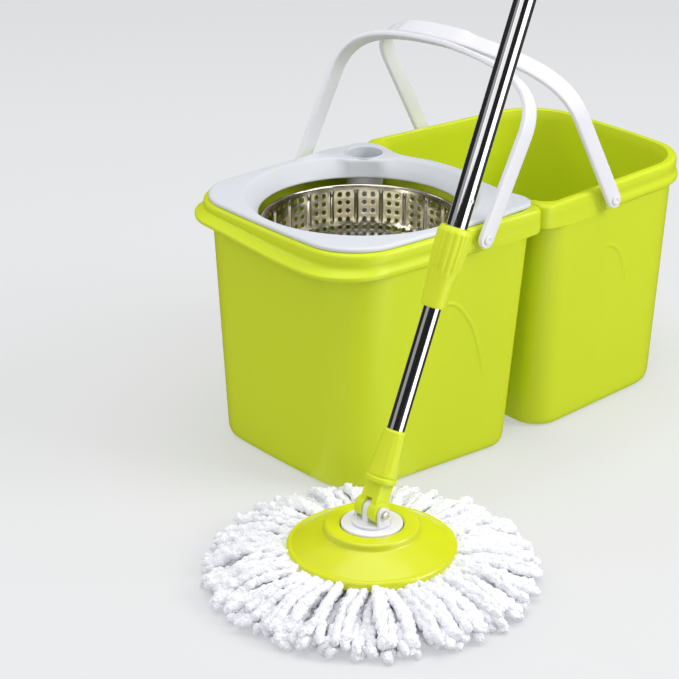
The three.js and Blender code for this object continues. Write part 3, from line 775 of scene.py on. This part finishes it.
# Spin basket: one punched panel, repeated round the axis.
basketPlan = {"top": 242.5, "panelDegrees": 15.0, "rowPitch": 9.3, "holeRadius": 2.55, "ribDepth": 1.5,
              "thickness": 0.0009, "floor": 160.0, "holeShare": 0.36, "holeRim": 1.22, "wallRows": 4,
              "wallTop": 3.2, "ribHalf": 1.15, "ribFade": 2.5,
              "bowlRows": [(3, 9.1)] * 7 + [(2, 8.6)] * 2 + [(1, 8.4)] * 3}  # columns and row pitch


def basketPath():
    # Arc length to (radius, height), from under the rolled rim down and in to the hub.
    corners = [(102.6, 240.0, 0), (102.4, 206, 10), (100.6, 193, 10), (94, 177, 10), (82, 165, 10),
               (68, 160.6, 8), (23, 160.6, 0)]
    line = np.array(roundCorners(corners, False, 6))
    steps = np.linalg.norm(np.diff(line, axis=0), axis=1)
    return np.concatenate([[0], np.cumsum(steps)]), line


pathLength, pathLine = basketPath()


def onBasket(u, s, lift=0.0):
    # u in degrees round the axis, s in millimetres down the path, lift towards the inside.
    r = np.interp(s, pathLength, pathLine[:, 0]) - lift
    z = np.interp(s, pathLength, pathLine[:, 1])
    a = math.radians(u)
    return (r * math.cos(a) * mm, r * math.sin(a) * mm, z * mm)


def basketPanel():
    # One fifteen-degree panel: rows of punched cells, and a pressed rib on the upright wall.
    verts, faces = [], []
    pitch, span = basketPlan["rowPitch"], basketPlan["panelDegrees"]

    def addLoops(loops):
        base = len(verts)
        n = len(loops[0])
        for loop in loops:
            verts.extend(loop)
        for k in range(len(loops) - 1):
            a, b = base + k * n, base + (k + 1) * n
            for i in range(n):
                j = (i + 1) % n
                faces.append((a + i, a + j, b + j, b + i))

    def addGrid(grid):
        base, n = len(verts), len(grid[0])
        for row in grid:
            verts.extend(row)
        for j in range(len(grid) - 1):
            for i in range(n - 1):
                a = base + j * n + i
                faces.append((a, a + 1, a + n + 1, a + n))

    def cell(u0, u1, s0, s1, across, down, holed):
        um, sm = (u0 + u1) / 2, (s0 + s1) / 2
        if not holed:
            addGrid([[onBasket(u0 + (u1 - u0) * i / across, s0 + (s1 - s0) * j / down)
                      for i in range(across + 1)] for j in range(down + 1)])
            return
        edge = [(u0 + (u1 - u0) * i / across, s0) for i in range(across)]
        edge += [(u1, s0 + (s1 - s0) * j / down) for j in range(down)]
        edge += [(u1 - (u1 - u0) * i / across, s1) for i in range(across)]
        edge += [(u0, s1 - (s1 - s0) * j / down) for j in range(down)]
        radius = np.interp(sm, pathLength, pathLine[:, 0])
        perDegree = radius * math.pi / 180
        hole = min(basketPlan["holeRadius"], (u1 - u0) * perDegree * basketPlan["holeShare"])
        flat = hole * basketPlan["holeRim"]
        rim, inner = [], []
        for u, s in edge:
            t = math.atan2(s - sm, (u - um) * perDegree)
            rim.append(onBasket(um + flat * math.cos(t) / perDegree, sm + flat * math.sin(t)))
            inner.append(onBasket(um + hole * math.cos(t) / perDegree, sm + hole * math.sin(t), -0.04))
        addLoops([[onBasket(u, s) for u, s in edge], rim, inner])

    wallRows, s = basketPlan["wallRows"], basketPlan["wallTop"]
    cell(0, span, 0, s, 12, 1, False)
    ribTop, ribLow = s + 1, s + wallRows * pitch - 1
    for row in range(wallRows):
        for column in (0, 2):
            cell(column * 5, column * 5 + 5, s + row * pitch, s + (row + 1) * pitch, 4, 4, True)

    def ribPoint(u, along):
        across01 = 1 - min(abs(u - span / 2) / basketPlan["ribHalf"], 1)
        fade = basketPlan["ribFade"]
        along01 = min(max((along - ribTop) / fade, 0), max((ribLow - along) / fade, 0), 1)
        return onBasket(u, along, basketPlan["ribDepth"] * math.sin(across01 * math.pi / 2) ** 1.5 * along01)

    across, down = 12, 16
    addGrid([[ribPoint(5 + 5 * i / across, s + wallRows * pitch * j / down) for i in range(across + 1)]
             for j in range(down + 1)])
    s += wallRows * pitch
    for columns, rowPitch in basketPlan["bowlRows"]:
        wide = span / columns
        for column in range(columns):
            cell(column * wide, (column + 1) * wide, s, s + rowPitch, 12 // columns, 4, True)
        s += rowPitch
    cell(0, span, s, pathLength[-1], 12, 2, False)
    mesh = bpy.data.meshes.new("basketPanel")
    mesh.from_pydata(verts, [], faces)
    mesh.materials.append(basketSteel)
    return linkObject("basketPanel", mesh)


def startTree(name, inputs):
    # The tree, its inputs, their modifier names and a maker of sums.
    tree = bpy.data.node_groups.new(name, "GeometryNodeTree")
    tree.interface.new_socket("Geometry", in_out="INPUT", socket_type="NodeSocketGeometry")
    ids = {}
    for label, kind, value in inputs:
        item = tree.interface.new_socket(label, in_out="INPUT", socket_type=kind)
        item.default_value = value
        ids[label] = item.identifier
    tree.interface.new_socket("Geometry", in_out="OUTPUT", socket_type="NodeSocketGeometry")
    return tree, tree.nodes.new("NodeGroupInput").outputs, ids, partial(mathNode, tree)


def endTree(tree, geometry, material):
    paint = addNode(tree, "GeometryNodeSetMaterial", {"Geometry": geometry, "Material": material})
    addNode(tree, "NodeGroupOutput", {0: paint})


def roundTheAxisTree(material):
    # Repeats the incoming panel round the Z axis.
    tree, given, ids, sums = startTree("roundTheAxis", [
        ("Count", "NodeSocketInt", 24), ("Weld", "NodeSocketFloat", 0.00002)])
    line = addNode(tree, "GeometryNodeMeshLine", {"Offset": (0, 0, 0), "Count": given["Count"]})
    index = addNode(tree, "GeometryNodeInputIndex")
    turn = sums("DIVIDE", sums("MULTIPLY", index, 2 * math.pi), given["Count"])
    angles = addNode(tree, "ShaderNodeCombineXYZ", {"Z": turn})
    turned = addNode(tree, "FunctionNodeEulerToRotation", {0: angles})
    placed = addNode(tree, "GeometryNodeInstanceOnPoints", {
        "Points": line, "Instance": given["Geometry"], "Rotation": turned})
    real = addNode(tree, "GeometryNodeRealizeInstances", {0: placed})
    weld = addNode(tree, "GeometryNodeMergeByDistance", {"Geometry": real, "Distance": given["Weld"]})
    endTree(tree, weld, material)
    return tree, ids


def addTree(obj, tree, ids, values):
    mod = obj.modifiers.new("nodes", "NODES")
    mod.node_group = tree
    for label, value in values.items():
        mod[ids[label]] = value
    return mod


def buildBasket():
    panel = basketPanel()
    tree, ids = roundTheAxisTree(basketSteel)
    addTree(panel, tree, ids, {"Count": round(360 / basketPlan["panelDegrees"])})
    sheet = applyModifiers(panel)
    sheet.name = sheet.data.name = "basketSheet"
    with editing(sheet.data, 2e-5) as bm:
        bmesh.ops.recalc_face_normals(bm, faces=bm.faces)
        bm.faces.ensure_lookup_table()
        face = bm.faces[0]
        centre = face.calc_center_median()
        if face.normal.dot(Vector((centre.x, centre.y, 0))) < 0:
            bmesh.ops.reverse_faces(bm, faces=bm.faces)
    solid = sheet.modifiers.new("thickness", "SOLIDIFY")
    solid.thickness, solid.offset = basketPlan["thickness"], -1
    applyModifiers(sheet)
    shadeSoft(sheet.data, 38)
    top = basketPlan["top"]
    rim = lathe("basketRim", [
        (101.6, top - 3.2, 0.6), (102.7, top - 3.4, 0.6), (105.4, top - 4.0, 1.8), (106, top - 1.2, 1.6),
        (104.0, top + 0.2, 1.8), (102.0, top - 0.6, 1.2),
    ], basketSteel, segments=144)
    return joinObjects([sheet, rim], "basketSheet")


cleanUp(buildBasket(), "basket_steel", "basket_set", "basket")
hubFloor = basketPlan["floor"]
cleanUp(lathe("basketHubMoulding", [
    (7.6, 150, 0.4), (23, 150, 1), (23.6, 152, 0.6), (23.6, hubFloor + 1.8, 0.6), (22.4, hubFloor + 6, 2.5),
    (15, hubFloor + 9, 2), (7.6, hubFloor + 9, 0.4),
], guardPlastic), "guard_plastic", "basket_set", "basket_hub")
cleanUp(lathe("basketHubCap", [
    (4.6, hubFloor + 9.4, 0.2), (13, hubFloor + 9.4, 0.8), (11.4, hubFloor + 14, 2), (0, hubFloor + 15.5, 0),
    (0, hubFloor + 12.4, 0), (4.6, hubFloor + 12.4, 0.2),
], guardPlastic), "guard_plastic", "basket_set", "hub_cap")
print("basket ready")


# Bail handles and the pins they swing on.
spinBail = {"crown": 172.5, "lean": 27.0, "width": 18.0, "thick": 6.5, "grip": None}
washBail = {"crown": 176.0, "lean": -28.0, "width": 18.0, "thick": 6.5, "grip": (-6.0, 96.0, 14.5)}


def bailPath(crown, half):
    # Straight legs, then two smooth curves that meet at the crown.
    def bez(p0, p1, p2, p3, n=44):
        p0, p1, p2, p3 = (np.array(p) for p in (p0, p1, p2, p3))
        return [p0 * (1 - t) ** 3 + 3 * p1 * t * (1 - t) ** 2 + 3 * p2 * t * t * (1 - t) + p3 * t ** 3
                for t in np.linspace(0, 1, n + 1)[1:]]
    leg, tight, near, wide = crown - 66, crown - 20, crown - 4, 112
    line = [np.array((-half, z)) for z in np.linspace(0, leg, 10)]
    line += bez((-half, leg), (-half, tight), (-wide, near), (0, crown))
    line += bez((0, crown), (wide, near), (half, tight), (half, leg))
    line += [np.array((half, z)) for z in np.linspace(leg, 0, 10)[1:]]
    return line


def makeBail(name, plan, node, half=145.2, squareness=0.42):
    # The leg's foot is rounded about the pivot, then the strap follows the path.
    w, t = plan["width"] / 2, plan["thick"] / 2
    stations = []
    for k in range(10):
        f = math.radians(86 * (1 - k / 9))
        stations.append((np.array((-half, -w * math.sin(f))), w * math.cos(f)))
    path = bailPath(plan["crown"], half)
    stations = stations[:-1] + [(p, w) for p in path]
    mirrored = [(np.array((half, p[1])), a) for p, a in stations[:9]][::-1]
    stations += mirrored
    points = np.array([p for p, _ in stations])
    rings = []
    for i, (p, wide) in enumerate(stations):
        d = points[min(i + 1, len(points) - 1)] - points[max(i - 1, 0)]
        d = d / np.linalg.norm(d)
        normal = np.array((-d[1], d[0]))
        thick, width = t, wide
        if plan["grip"]:
            y0, y1, size = plan["grip"]
            k = float(between(p[0], (y0 - 5, y0 + 3), (y1 - 3, y1 + 5)))
            if p[1] > plan["crown"] - 60:
                thick = t + (size / 2 - t) * k * 0.55
                width = wide + 1.6 * k
        ring = []
        for c in range(28):
            a = 2 * math.pi * c / 28
            ca, sa = math.cos(a), math.sin(a)
            u = width * math.copysign(abs(ca) ** squareness, ca)
            v = thick * math.copysign(abs(sa) ** squareness, sa)
            at = p + normal * v
            ring.append((u, at[0], at[1]))
        rings.append(np.array(ring))
    pivot = Vector(joints[node + "_swing"]["pos_m"])
    turn = Matrix.Translation(pivot) @ Matrix.Rotation(math.radians(plan["lean"]), 4, "Y")
    verts, faces = joinRings([ring * mm for ring in rings])
    obj = smoothMesh(name, [turn @ Vector(v) for v in verts], faces, whitePlastic, 42)
    return faceOut(obj)


cleanUp(makeBail("spinBail", spinBail, "spin_handle"), "white_plastic", "spin_bail", "spin_handle")
cleanUp(makeBail("washBail", washBail, "wash_handle"), "white_plastic", "wash_bail", "wash_handle")


def makePin(name, node, body):
    low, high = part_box(node)
    near = low.y < 0
    centre = Vector(((low.x + high.x) / 2, 0, (low.z + high.z) / 2))
    face, inner = (low.y, high.y) if near else (high.y, low.y)
    side = -1 if near else 1
    place = Matrix.Translation((centre.x, 0, centre.z)) @ Matrix.Rotation(math.radians(-90 * side), 4, "X")
    outer, start = abs(face) * 1000, abs(inner) * 1000
    obj = lathe(name, [
        (0, start, 0), (2.8, start, 0.3), (2.8, outer - 1.6, 0.1), (4.8, outer - 1.6, 0.3),
        (4.8, outer - 0.3, 0.7), (2.4, outer, 0.4), (1.9, outer - 0.7, 0.3), (0, outer - 0.7, 0),
    ], whitePlastic, place, 40, False)
    cleanUp(obj, "white_plastic", body, node)


for pinNode, pinBody in (("spin_pin_near", "spin_bucket_set"), ("spin_pin_far", "spin_bucket_set"),
                         ("wash_pin_near", "wash_bucket_set"), ("wash_pin_far", "wash_bucket_set")):
    makePin(pinNode.replace("_", "") + "Snap", pinNode, pinBody)
print("handles ready")


# Mop head: plate, washer and knuckle.
pinPlace = Vector(joints["pole_tilt"]["pos_m"])
headAxis = Matrix.Translation((pinPlace.x, pinPlace.y, 0))
plateR = 80.0

cleanUp(lathe("plateDish", [
    (plateR - 0.6, 28, 0.6), (plateR, 29, 0.8), (plateR, 35.6, 1.4), (plateR - 2.4, 37.8, 2.0),
    (plateR - 4.6, 37.4, 1.4), (62, 44.5, 8), (46.6, 50.3, 1.6), (45.4, 51.4, 1.0), (45.0, 56.2, 1.2),
    (42.8, 57.8, 1.2), (31.0, 57.8, 0.8), (29.8, 56.4, 0.6), (29.6, 51.3, 0.4), (8.4, 51.3, 0.2),
    (8.4, 46, 0.2), (41, 46, 3), (60, 41, 4), (76, 34.6, 2), (77.4, 33, 0.6), (77.4, 28, 0.4),
], limeGloss, headAxis, 160), "lime_shell", "mop_head", "head_plate")
cleanUp(lathe("hubWasher", [
    (4.5, 51.6, 0.3), (14, 51.6, 0.3), (14, 55, 0.4), (28.6, 55.2, 0.4), (29, 56, 0.4), (29, 58.0, 0.7),
    (28, 58.9, 0.8), (4.5, 58.9, 0.2),
], whitePlastic, headAxis, 96), "white_plastic", "mop_hub", "hub_washer")


def refined(name, nodeName, material, bevel=0.0007, segments=3, dissolve=0.6):
    # A copy of the CAD node, merged, with its hard edges rounded.
    mesh = nodes[nodeName].data.copy()
    mesh.materials.clear()
    obj = linkObject(name, mesh, material)
    with editing(mesh, 2e-6) as bm:
        bmesh.ops.dissolve_limit(bm, angle_limit=math.radians(dissolve), verts=bm.verts, edges=bm.edges)
    mod = obj.modifiers.new("bevel", "BEVEL")
    mod.width, mod.segments = bevel, segments
    mod.limit_method, mod.angle_limit = "ANGLE", math.radians(35)
    mod.harden_normals = False
    applyModifiers(obj)
    shadeSoft(obj.data, 28)
    return obj


cleanUp(refined("knuckleBlock", "knuckle", whitePlastic, 0.0009), "white_plastic", "mop_hub", "knuckle")
cleanUp(refined("pivotBolt", "pivot_pin", boltSteel, 0.0003), "fastener_steel", "mop_hub", "pivot_pin")
cleanUp(refined("pivotHexNut", "pivot_nut", boltSteel, 0.0003), "fastener_steel", "mop_hub", "pivot_nut")
print("plate and knuckle ready")


# Yarn: strand lines by rule, nubby strands by Geometry Nodes.
yarnPlan = {"layers": 5, "strands": 80, "startRadius": 66.0, "reach": 162.0, "spread": 14.0,
            "strandRadius": 0.0047, "nubHeight": 0.0058, "nubScale": 165.0, "seed": 11}


def strandPaths(layer, rng):
    # Each strand leaves from under the plate, drapes over the ones below and lies out on the floor.
    y = yarnPlan
    paths = []
    drop = layer / (y["layers"] - 1)
    for i in range(y["strands"]):
        base = 2 * math.pi * (i + 0.5 * (layer % 2) + rng.uniform(-0.3, 0.3)) / y["strands"]
        reach = y["reach"] + rng.uniform(-y["spread"], 0) - 3.0 * drop
        sway = rng.uniform(-0.11, 0.11)
        wave, phase = rng.uniform(0.008, 0.030), rng.uniform(0, 6.28)
        crest = 5.4 + 22.0 * drop + rng.uniform(-2.0, 3.0) * drop
        tip = 5.4 + 9.0 * drop + rng.uniform(-1.0, 5.0) * drop
        line = []
        for k in range(12):
            t = k / 11
            r = y["startRadius"] + (reach - y["startRadius"]) * t
            a = base + sway * t + wave * math.sin(phase + 5.2 * t)
            rise = crest + 2.0 * math.sin(math.pi * min(t * 1.5, 1)) * drop
            z = rise + (tip - rise) * smoothStep(t, 0.55, 1.0) + rng.uniform(-0.9, 0.9)
            line.append((pinPlace.x + r * math.cos(a) * mm, pinPlace.y + r * math.sin(a) * mm,
                         max(float(z), 5.0) * mm))
        paths.append(line)
    return paths


def yarnTree():
    # Strand centre lines to nubby strands with a rounded free end.
    tree, given, ids, sums = startTree("nubbyStrands", [
        ("Strand Radius", "NodeSocketFloat", 0.004), ("Nub Height", "NodeSocketFloat", 0.001),
        ("Nub Scale", "NodeSocketFloat", 300.0), ("Seed", "NodeSocketFloat", 1.0)])
    curve = addNode(tree, "GeometryNodeMeshToCurve", {0: given["Geometry"]})
    smooth = addNode(tree, "GeometryNodeCurveSplineType", {0: curve}, spline_type="CATMULL_ROM")
    even = addNode(tree, "GeometryNodeResampleCurve", {"Curve": smooth, "Count": 50})
    along = addNode(tree, "GeometryNodeSplineParameter", out="Factor")
    # The radius follows a steep dome of the distance to the free end.
    dome = sums("MINIMUM", sums("MULTIPLY", sums("SUBTRACT", 1.0, along), 15.0), 1.0)
    rest = sums("SUBTRACT", 1.0, dome)
    tip = sums("SQRT", sums("SUBTRACT", 1.002, sums("MULTIPLY", rest, rest)))
    radius = sums("MULTIPLY", tip, sums("ADD", 0.84, sums("MULTIPLY", along, 0.22)))
    shaped = addNode(tree, "GeometryNodeSetCurveRadius", {"Curve": even, "Radius": radius})
    ring = addNode(tree, "GeometryNodeCurvePrimitiveCircle", {
        "Resolution": 9, "Radius": given["Strand Radius"]})
    sweep = addNode(tree, "GeometryNodeCurveToMesh", {
        "Curve": shaped, "Profile Curve": ring, "Scale": radius, "Fill Caps": True})
    weld = addNode(tree, "GeometryNodeMergeByDistance", {"Geometry": sweep, "Distance": 0.00002})
    nubs = addNode(tree, "ShaderNodeTexNoise", {
        "Vector": addNode(tree, "GeometryNodeInputPosition"), "W": given["Seed"],
        "Scale": given["Nub Scale"], "Detail": 2.0}, "Fac", noise_dimensions="4D")
    height = sums("MULTIPLY", sums("SUBTRACT", nubs, 0.5), given["Nub Height"])
    push = addNode(tree, "ShaderNodeVectorMath", {
        0: addNode(tree, "GeometryNodeInputNormal"), "Scale": sums("MULTIPLY", height, 2.0),
    }, operation="SCALE")
    move = addNode(tree, "GeometryNodeSetPosition", {"Geometry": weld, "Offset": push})
    endTree(tree, addNode(tree, "GeometryNodeRealizeInstances", {0: move}), yarnCotton)
    return tree, ids


def makeYarn():
    tree, ids = yarnTree()
    for layer in range(yarnPlan["layers"]):
        rng = random.Random(yarnPlan["seed"] + layer)
        verts, edges = [], []
        for line in strandPaths(layer, rng):
            base = len(verts)
            verts += line
            edges += [(base + k, base + k + 1) for k in range(len(line) - 1)]
        mesh = bpy.data.meshes.new(f"yarnLayer{layer + 1}")
        mesh.from_pydata(verts, edges, [])
        obj = linkObject(f"yarnLayer{layer + 1}", mesh)
        addTree(obj, tree, ids, {
            "Strand Radius": yarnPlan["strandRadius"], "Nub Height": yarnPlan["nubHeight"],
            "Nub Scale": yarnPlan["nubScale"], "Seed": float(layer)})
        applyModifiers(obj)
        obj.data.shade_smooth()
        faceOut(obj)
        for v in obj.data.vertices:
            v.co.z = max(v.co.z, 0.0002)
        cleanUp(obj, "yarn", "mop_head", "yarn")


makeYarn()
print("yarn ready")


# Pole: fork, socket, tubes, lock collar and grip.
poleAxis = Vector(joints["pole_spin"]["axis"]).normalized()
lean = math.atan2(poleAxis.x, poleAxis.z)
polePlace = Matrix.Translation(pinPlace) @ Matrix.Rotation(lean, 4, "Y")


def onPole(name, profile, material, slotName, body, node, segments=72, shape=None, closed=True):
    obj = lathe(name, profile, material, polePlace, segments, closed, 4, shape)
    return cleanUp(obj, slotName, body, node)


def tubeRows(bore, radius, low, top):
    return [(bore, low, 0.3), (radius, low, 0.3), (radius, top, 0.3), (bore, top, 0.3)]


# "along" is where the grooves fade in and out, "skin" the least radius that has them.
socketPlan = {"low": 27.0, "top": 77.5, "rLow": 14.0, "rTop": 10.6, "flange": 15.0, "flutes": 12,
              "depth": 0.35, "power": 1, "skin": 9, "along": ((34, 40), (70, 76))}
collarPlan = {"low": 196.5, "top": 272.5, "flutes": 16, "depth": 1.15, "power": 1.5, "skin": 12.5,
              "along": ((226.5, 234.5), (264.5, 269.5))}
tubePlan = {"lowR": 8.4, "lowBore": 7.3, "lowZ": 34.0, "lowTop": 570.0,
            "upR": 10.0, "upBore": 9.0, "upZ": 232.0, "upTop": 925.0, "studZ": 299.5}
gripPlan = {"low": 775.0, "r": 14.0, "ribPitch": 9, "depth": 0.5, "power": 2, "skin": 12,
            "along": ((783, 789), (906, 914))}
capPlan = {"top": 941.0}


def grooved(plan, r, z, turn):
    # The radius less a shallow groove, which repeats with the turn.
    k = float(between(z, *plan["along"]) * (r > plan["skin"]))
    return r - plan["depth"] * k * (0.5 + 0.5 * math.cos(turn)) ** plan["power"]


def flutedSocket(r, z, a):
    return grooved(socketPlan, r, z, socketPlan["flutes"] * a)


def flutedCollar(r, z, a):
    return grooved(collarPlan, r, z, collarPlan["flutes"] * a)


def ribbedGrip(r, z, a):
    return grooved(gripPlan, r, z, (z - gripPlan["low"]) * 2 * math.pi / gripPlan["ribPitch"])


s, c, t = socketPlan, collarPlan, tubePlan
cleanUp(refined("forkCheeks", "fork", limeFittings, 0.0011), "lime_fittings", "lower_pole", "fork")
onPole("poleSocket", [
    (6.3, s["low"], 0.3), (s["flange"], s["low"], 1.0), (s["flange"], s["low"] + 4.6, 0.9),
    (s["rLow"] - 0.5, s["low"] + 5.2, 0.5), (s["rLow"] - 0.4, s["low"] + 6.4, 0.4),
    (s["rLow"] + 0.1, s["low"] + 7, 0.4), (13.2, 44, 3), (12.3, 56, 3), (s["rTop"] + 0.2, 74, 3),
    (s["rTop"], s["top"] - 1.4, 1), (s["rTop"] - 1, s["top"], 0.6),
    (t["lowR"] + 0.3, s["top"], 0.2), (t["lowR"] + 0.3, t["lowZ"] - 0.3, 0.2), (6.3, t["lowZ"] - 0.3, 0.2),
], limeFittings, "lime_fittings", "lower_pole", "lower_socket", 144, flutedSocket)
onPole("lowerTubeShell", tubeRows(t["lowBore"], t["lowR"], t["lowZ"], t["lowTop"]),
       tubeSteel, "tube_steel", "lower_pole", "lower_tube", 96)
z0, z1 = c["low"], c["top"]
onPole("lockCollarGrip", [
    (t["lowR"] + 0.5, z0, 0.2), (11.6, z0, 0.9), (12.2, z0 + 2, 1.2), (12.5, z0 + 12, 4), (13.0, z0 + 22, 5),
    (13.9, z0 + 31, 4), (15.5, z0 + 40, 4), (16.3, z0 + 56, 4), (16.5, z1 - 5, 1.2), (14.2, z1, 1.0),
    (t["upR"] + 0.4, z1, 0.3), (t["upR"] + 0.4, z0 + 48, 0.3), (12.4, z0 + 47, 0.2), (12.4, z0 + 31, 0.2),
    (11.3, z0 + 30, 0.2), (11.3, z0 + 17, 0.2), (t["lowR"] + 0.5, z0 + 16, 0.2),
], limeFittings, "lime_fittings", "collar", "lock_collar", 200, flutedCollar)
onPole("upperTubeShell", tubeRows(t["upBore"], t["upR"], t["upZ"], t["upTop"]),
       tubeSteel, "tube_steel", "upper_pole", "upper_tube", 96)
studTurn = Matrix.Rotation(math.radians(90), 4, "X")
studPlace = polePlace @ Matrix.Translation((0, 0, t["studZ"] * mm)) @ studTurn
cleanUp(lathe("stopStudDome", [
    (0, 8.4, 0), (2.6, 8.4, 0.1), (2.6, 10.3, 0.5), (1.3, 10.95, 1.0), (0, 11, 0),
], boltSteel, studPlace, 32, False), "fastener_steel", "upper_pole", "stop_stud")
g = gripPlan
gripRows = [(t["upR"] + 0.3, g["low"], 0.3), (12.4, g["low"], 1.0), (g["r"], g["low"] + 4, 2)]
gripRows += [(g["r"] - 0.8 * math.sin(math.pi * k / 72), g["low"] + 5 + k * 2, 0) for k in range(1, 72)]
gripRows += [(g["r"], t["upTop"] - 4, 0.5), (13.4, t["upTop"] - 3, 0.4),
             (t["upR"] + 0.3, t["upTop"] - 3, 0.3)]
onPole("gripSleeve", gripRows, gripPlastic, "grip", "upper_pole", "grip_sleeve", 64, ribbedGrip)
capTop = capPlan["top"]
onPole("poleEndCap", [
    (0, t["upTop"] + 0.3, 0), (g["r"] - 0.5, t["upTop"] + 0.3, 0.4), (g["r"] - 0.5, t["upTop"] + 7, 3),
    (10, capTop - 3, 3), (4.6, capTop - 0.4, 1), (3.8, capTop - 1.6, 0.4), (0, capTop - 1.6, 0),
], limeFittings, "lime_fittings", "upper_pole", "end_cap", closed=False)
print("pole ready")


# Inner CAD pieces keep their shape and get their finish.
hiddenFinish = [
    (nylon, ["spindle_post", "basket_bearing", "yarn_ring", "hub_bearing", "clutch_ring", "drive_nut",
             "slide_bush", "lock_ring", "bar_anchor"]),
    (boltSteel, ["spindle_pin", "post_screw_1", "post_screw_2", "post_screw_3", "post_screw_4", "hub_bolt",
                 "twisted_bar"]),
]
for material, nodeNames in hiddenFinish:
    for nodeName in nodeNames:
        mats = nodes[nodeName].data.materials
        mats.clear()
        mats.append(material)

print("everything placed")
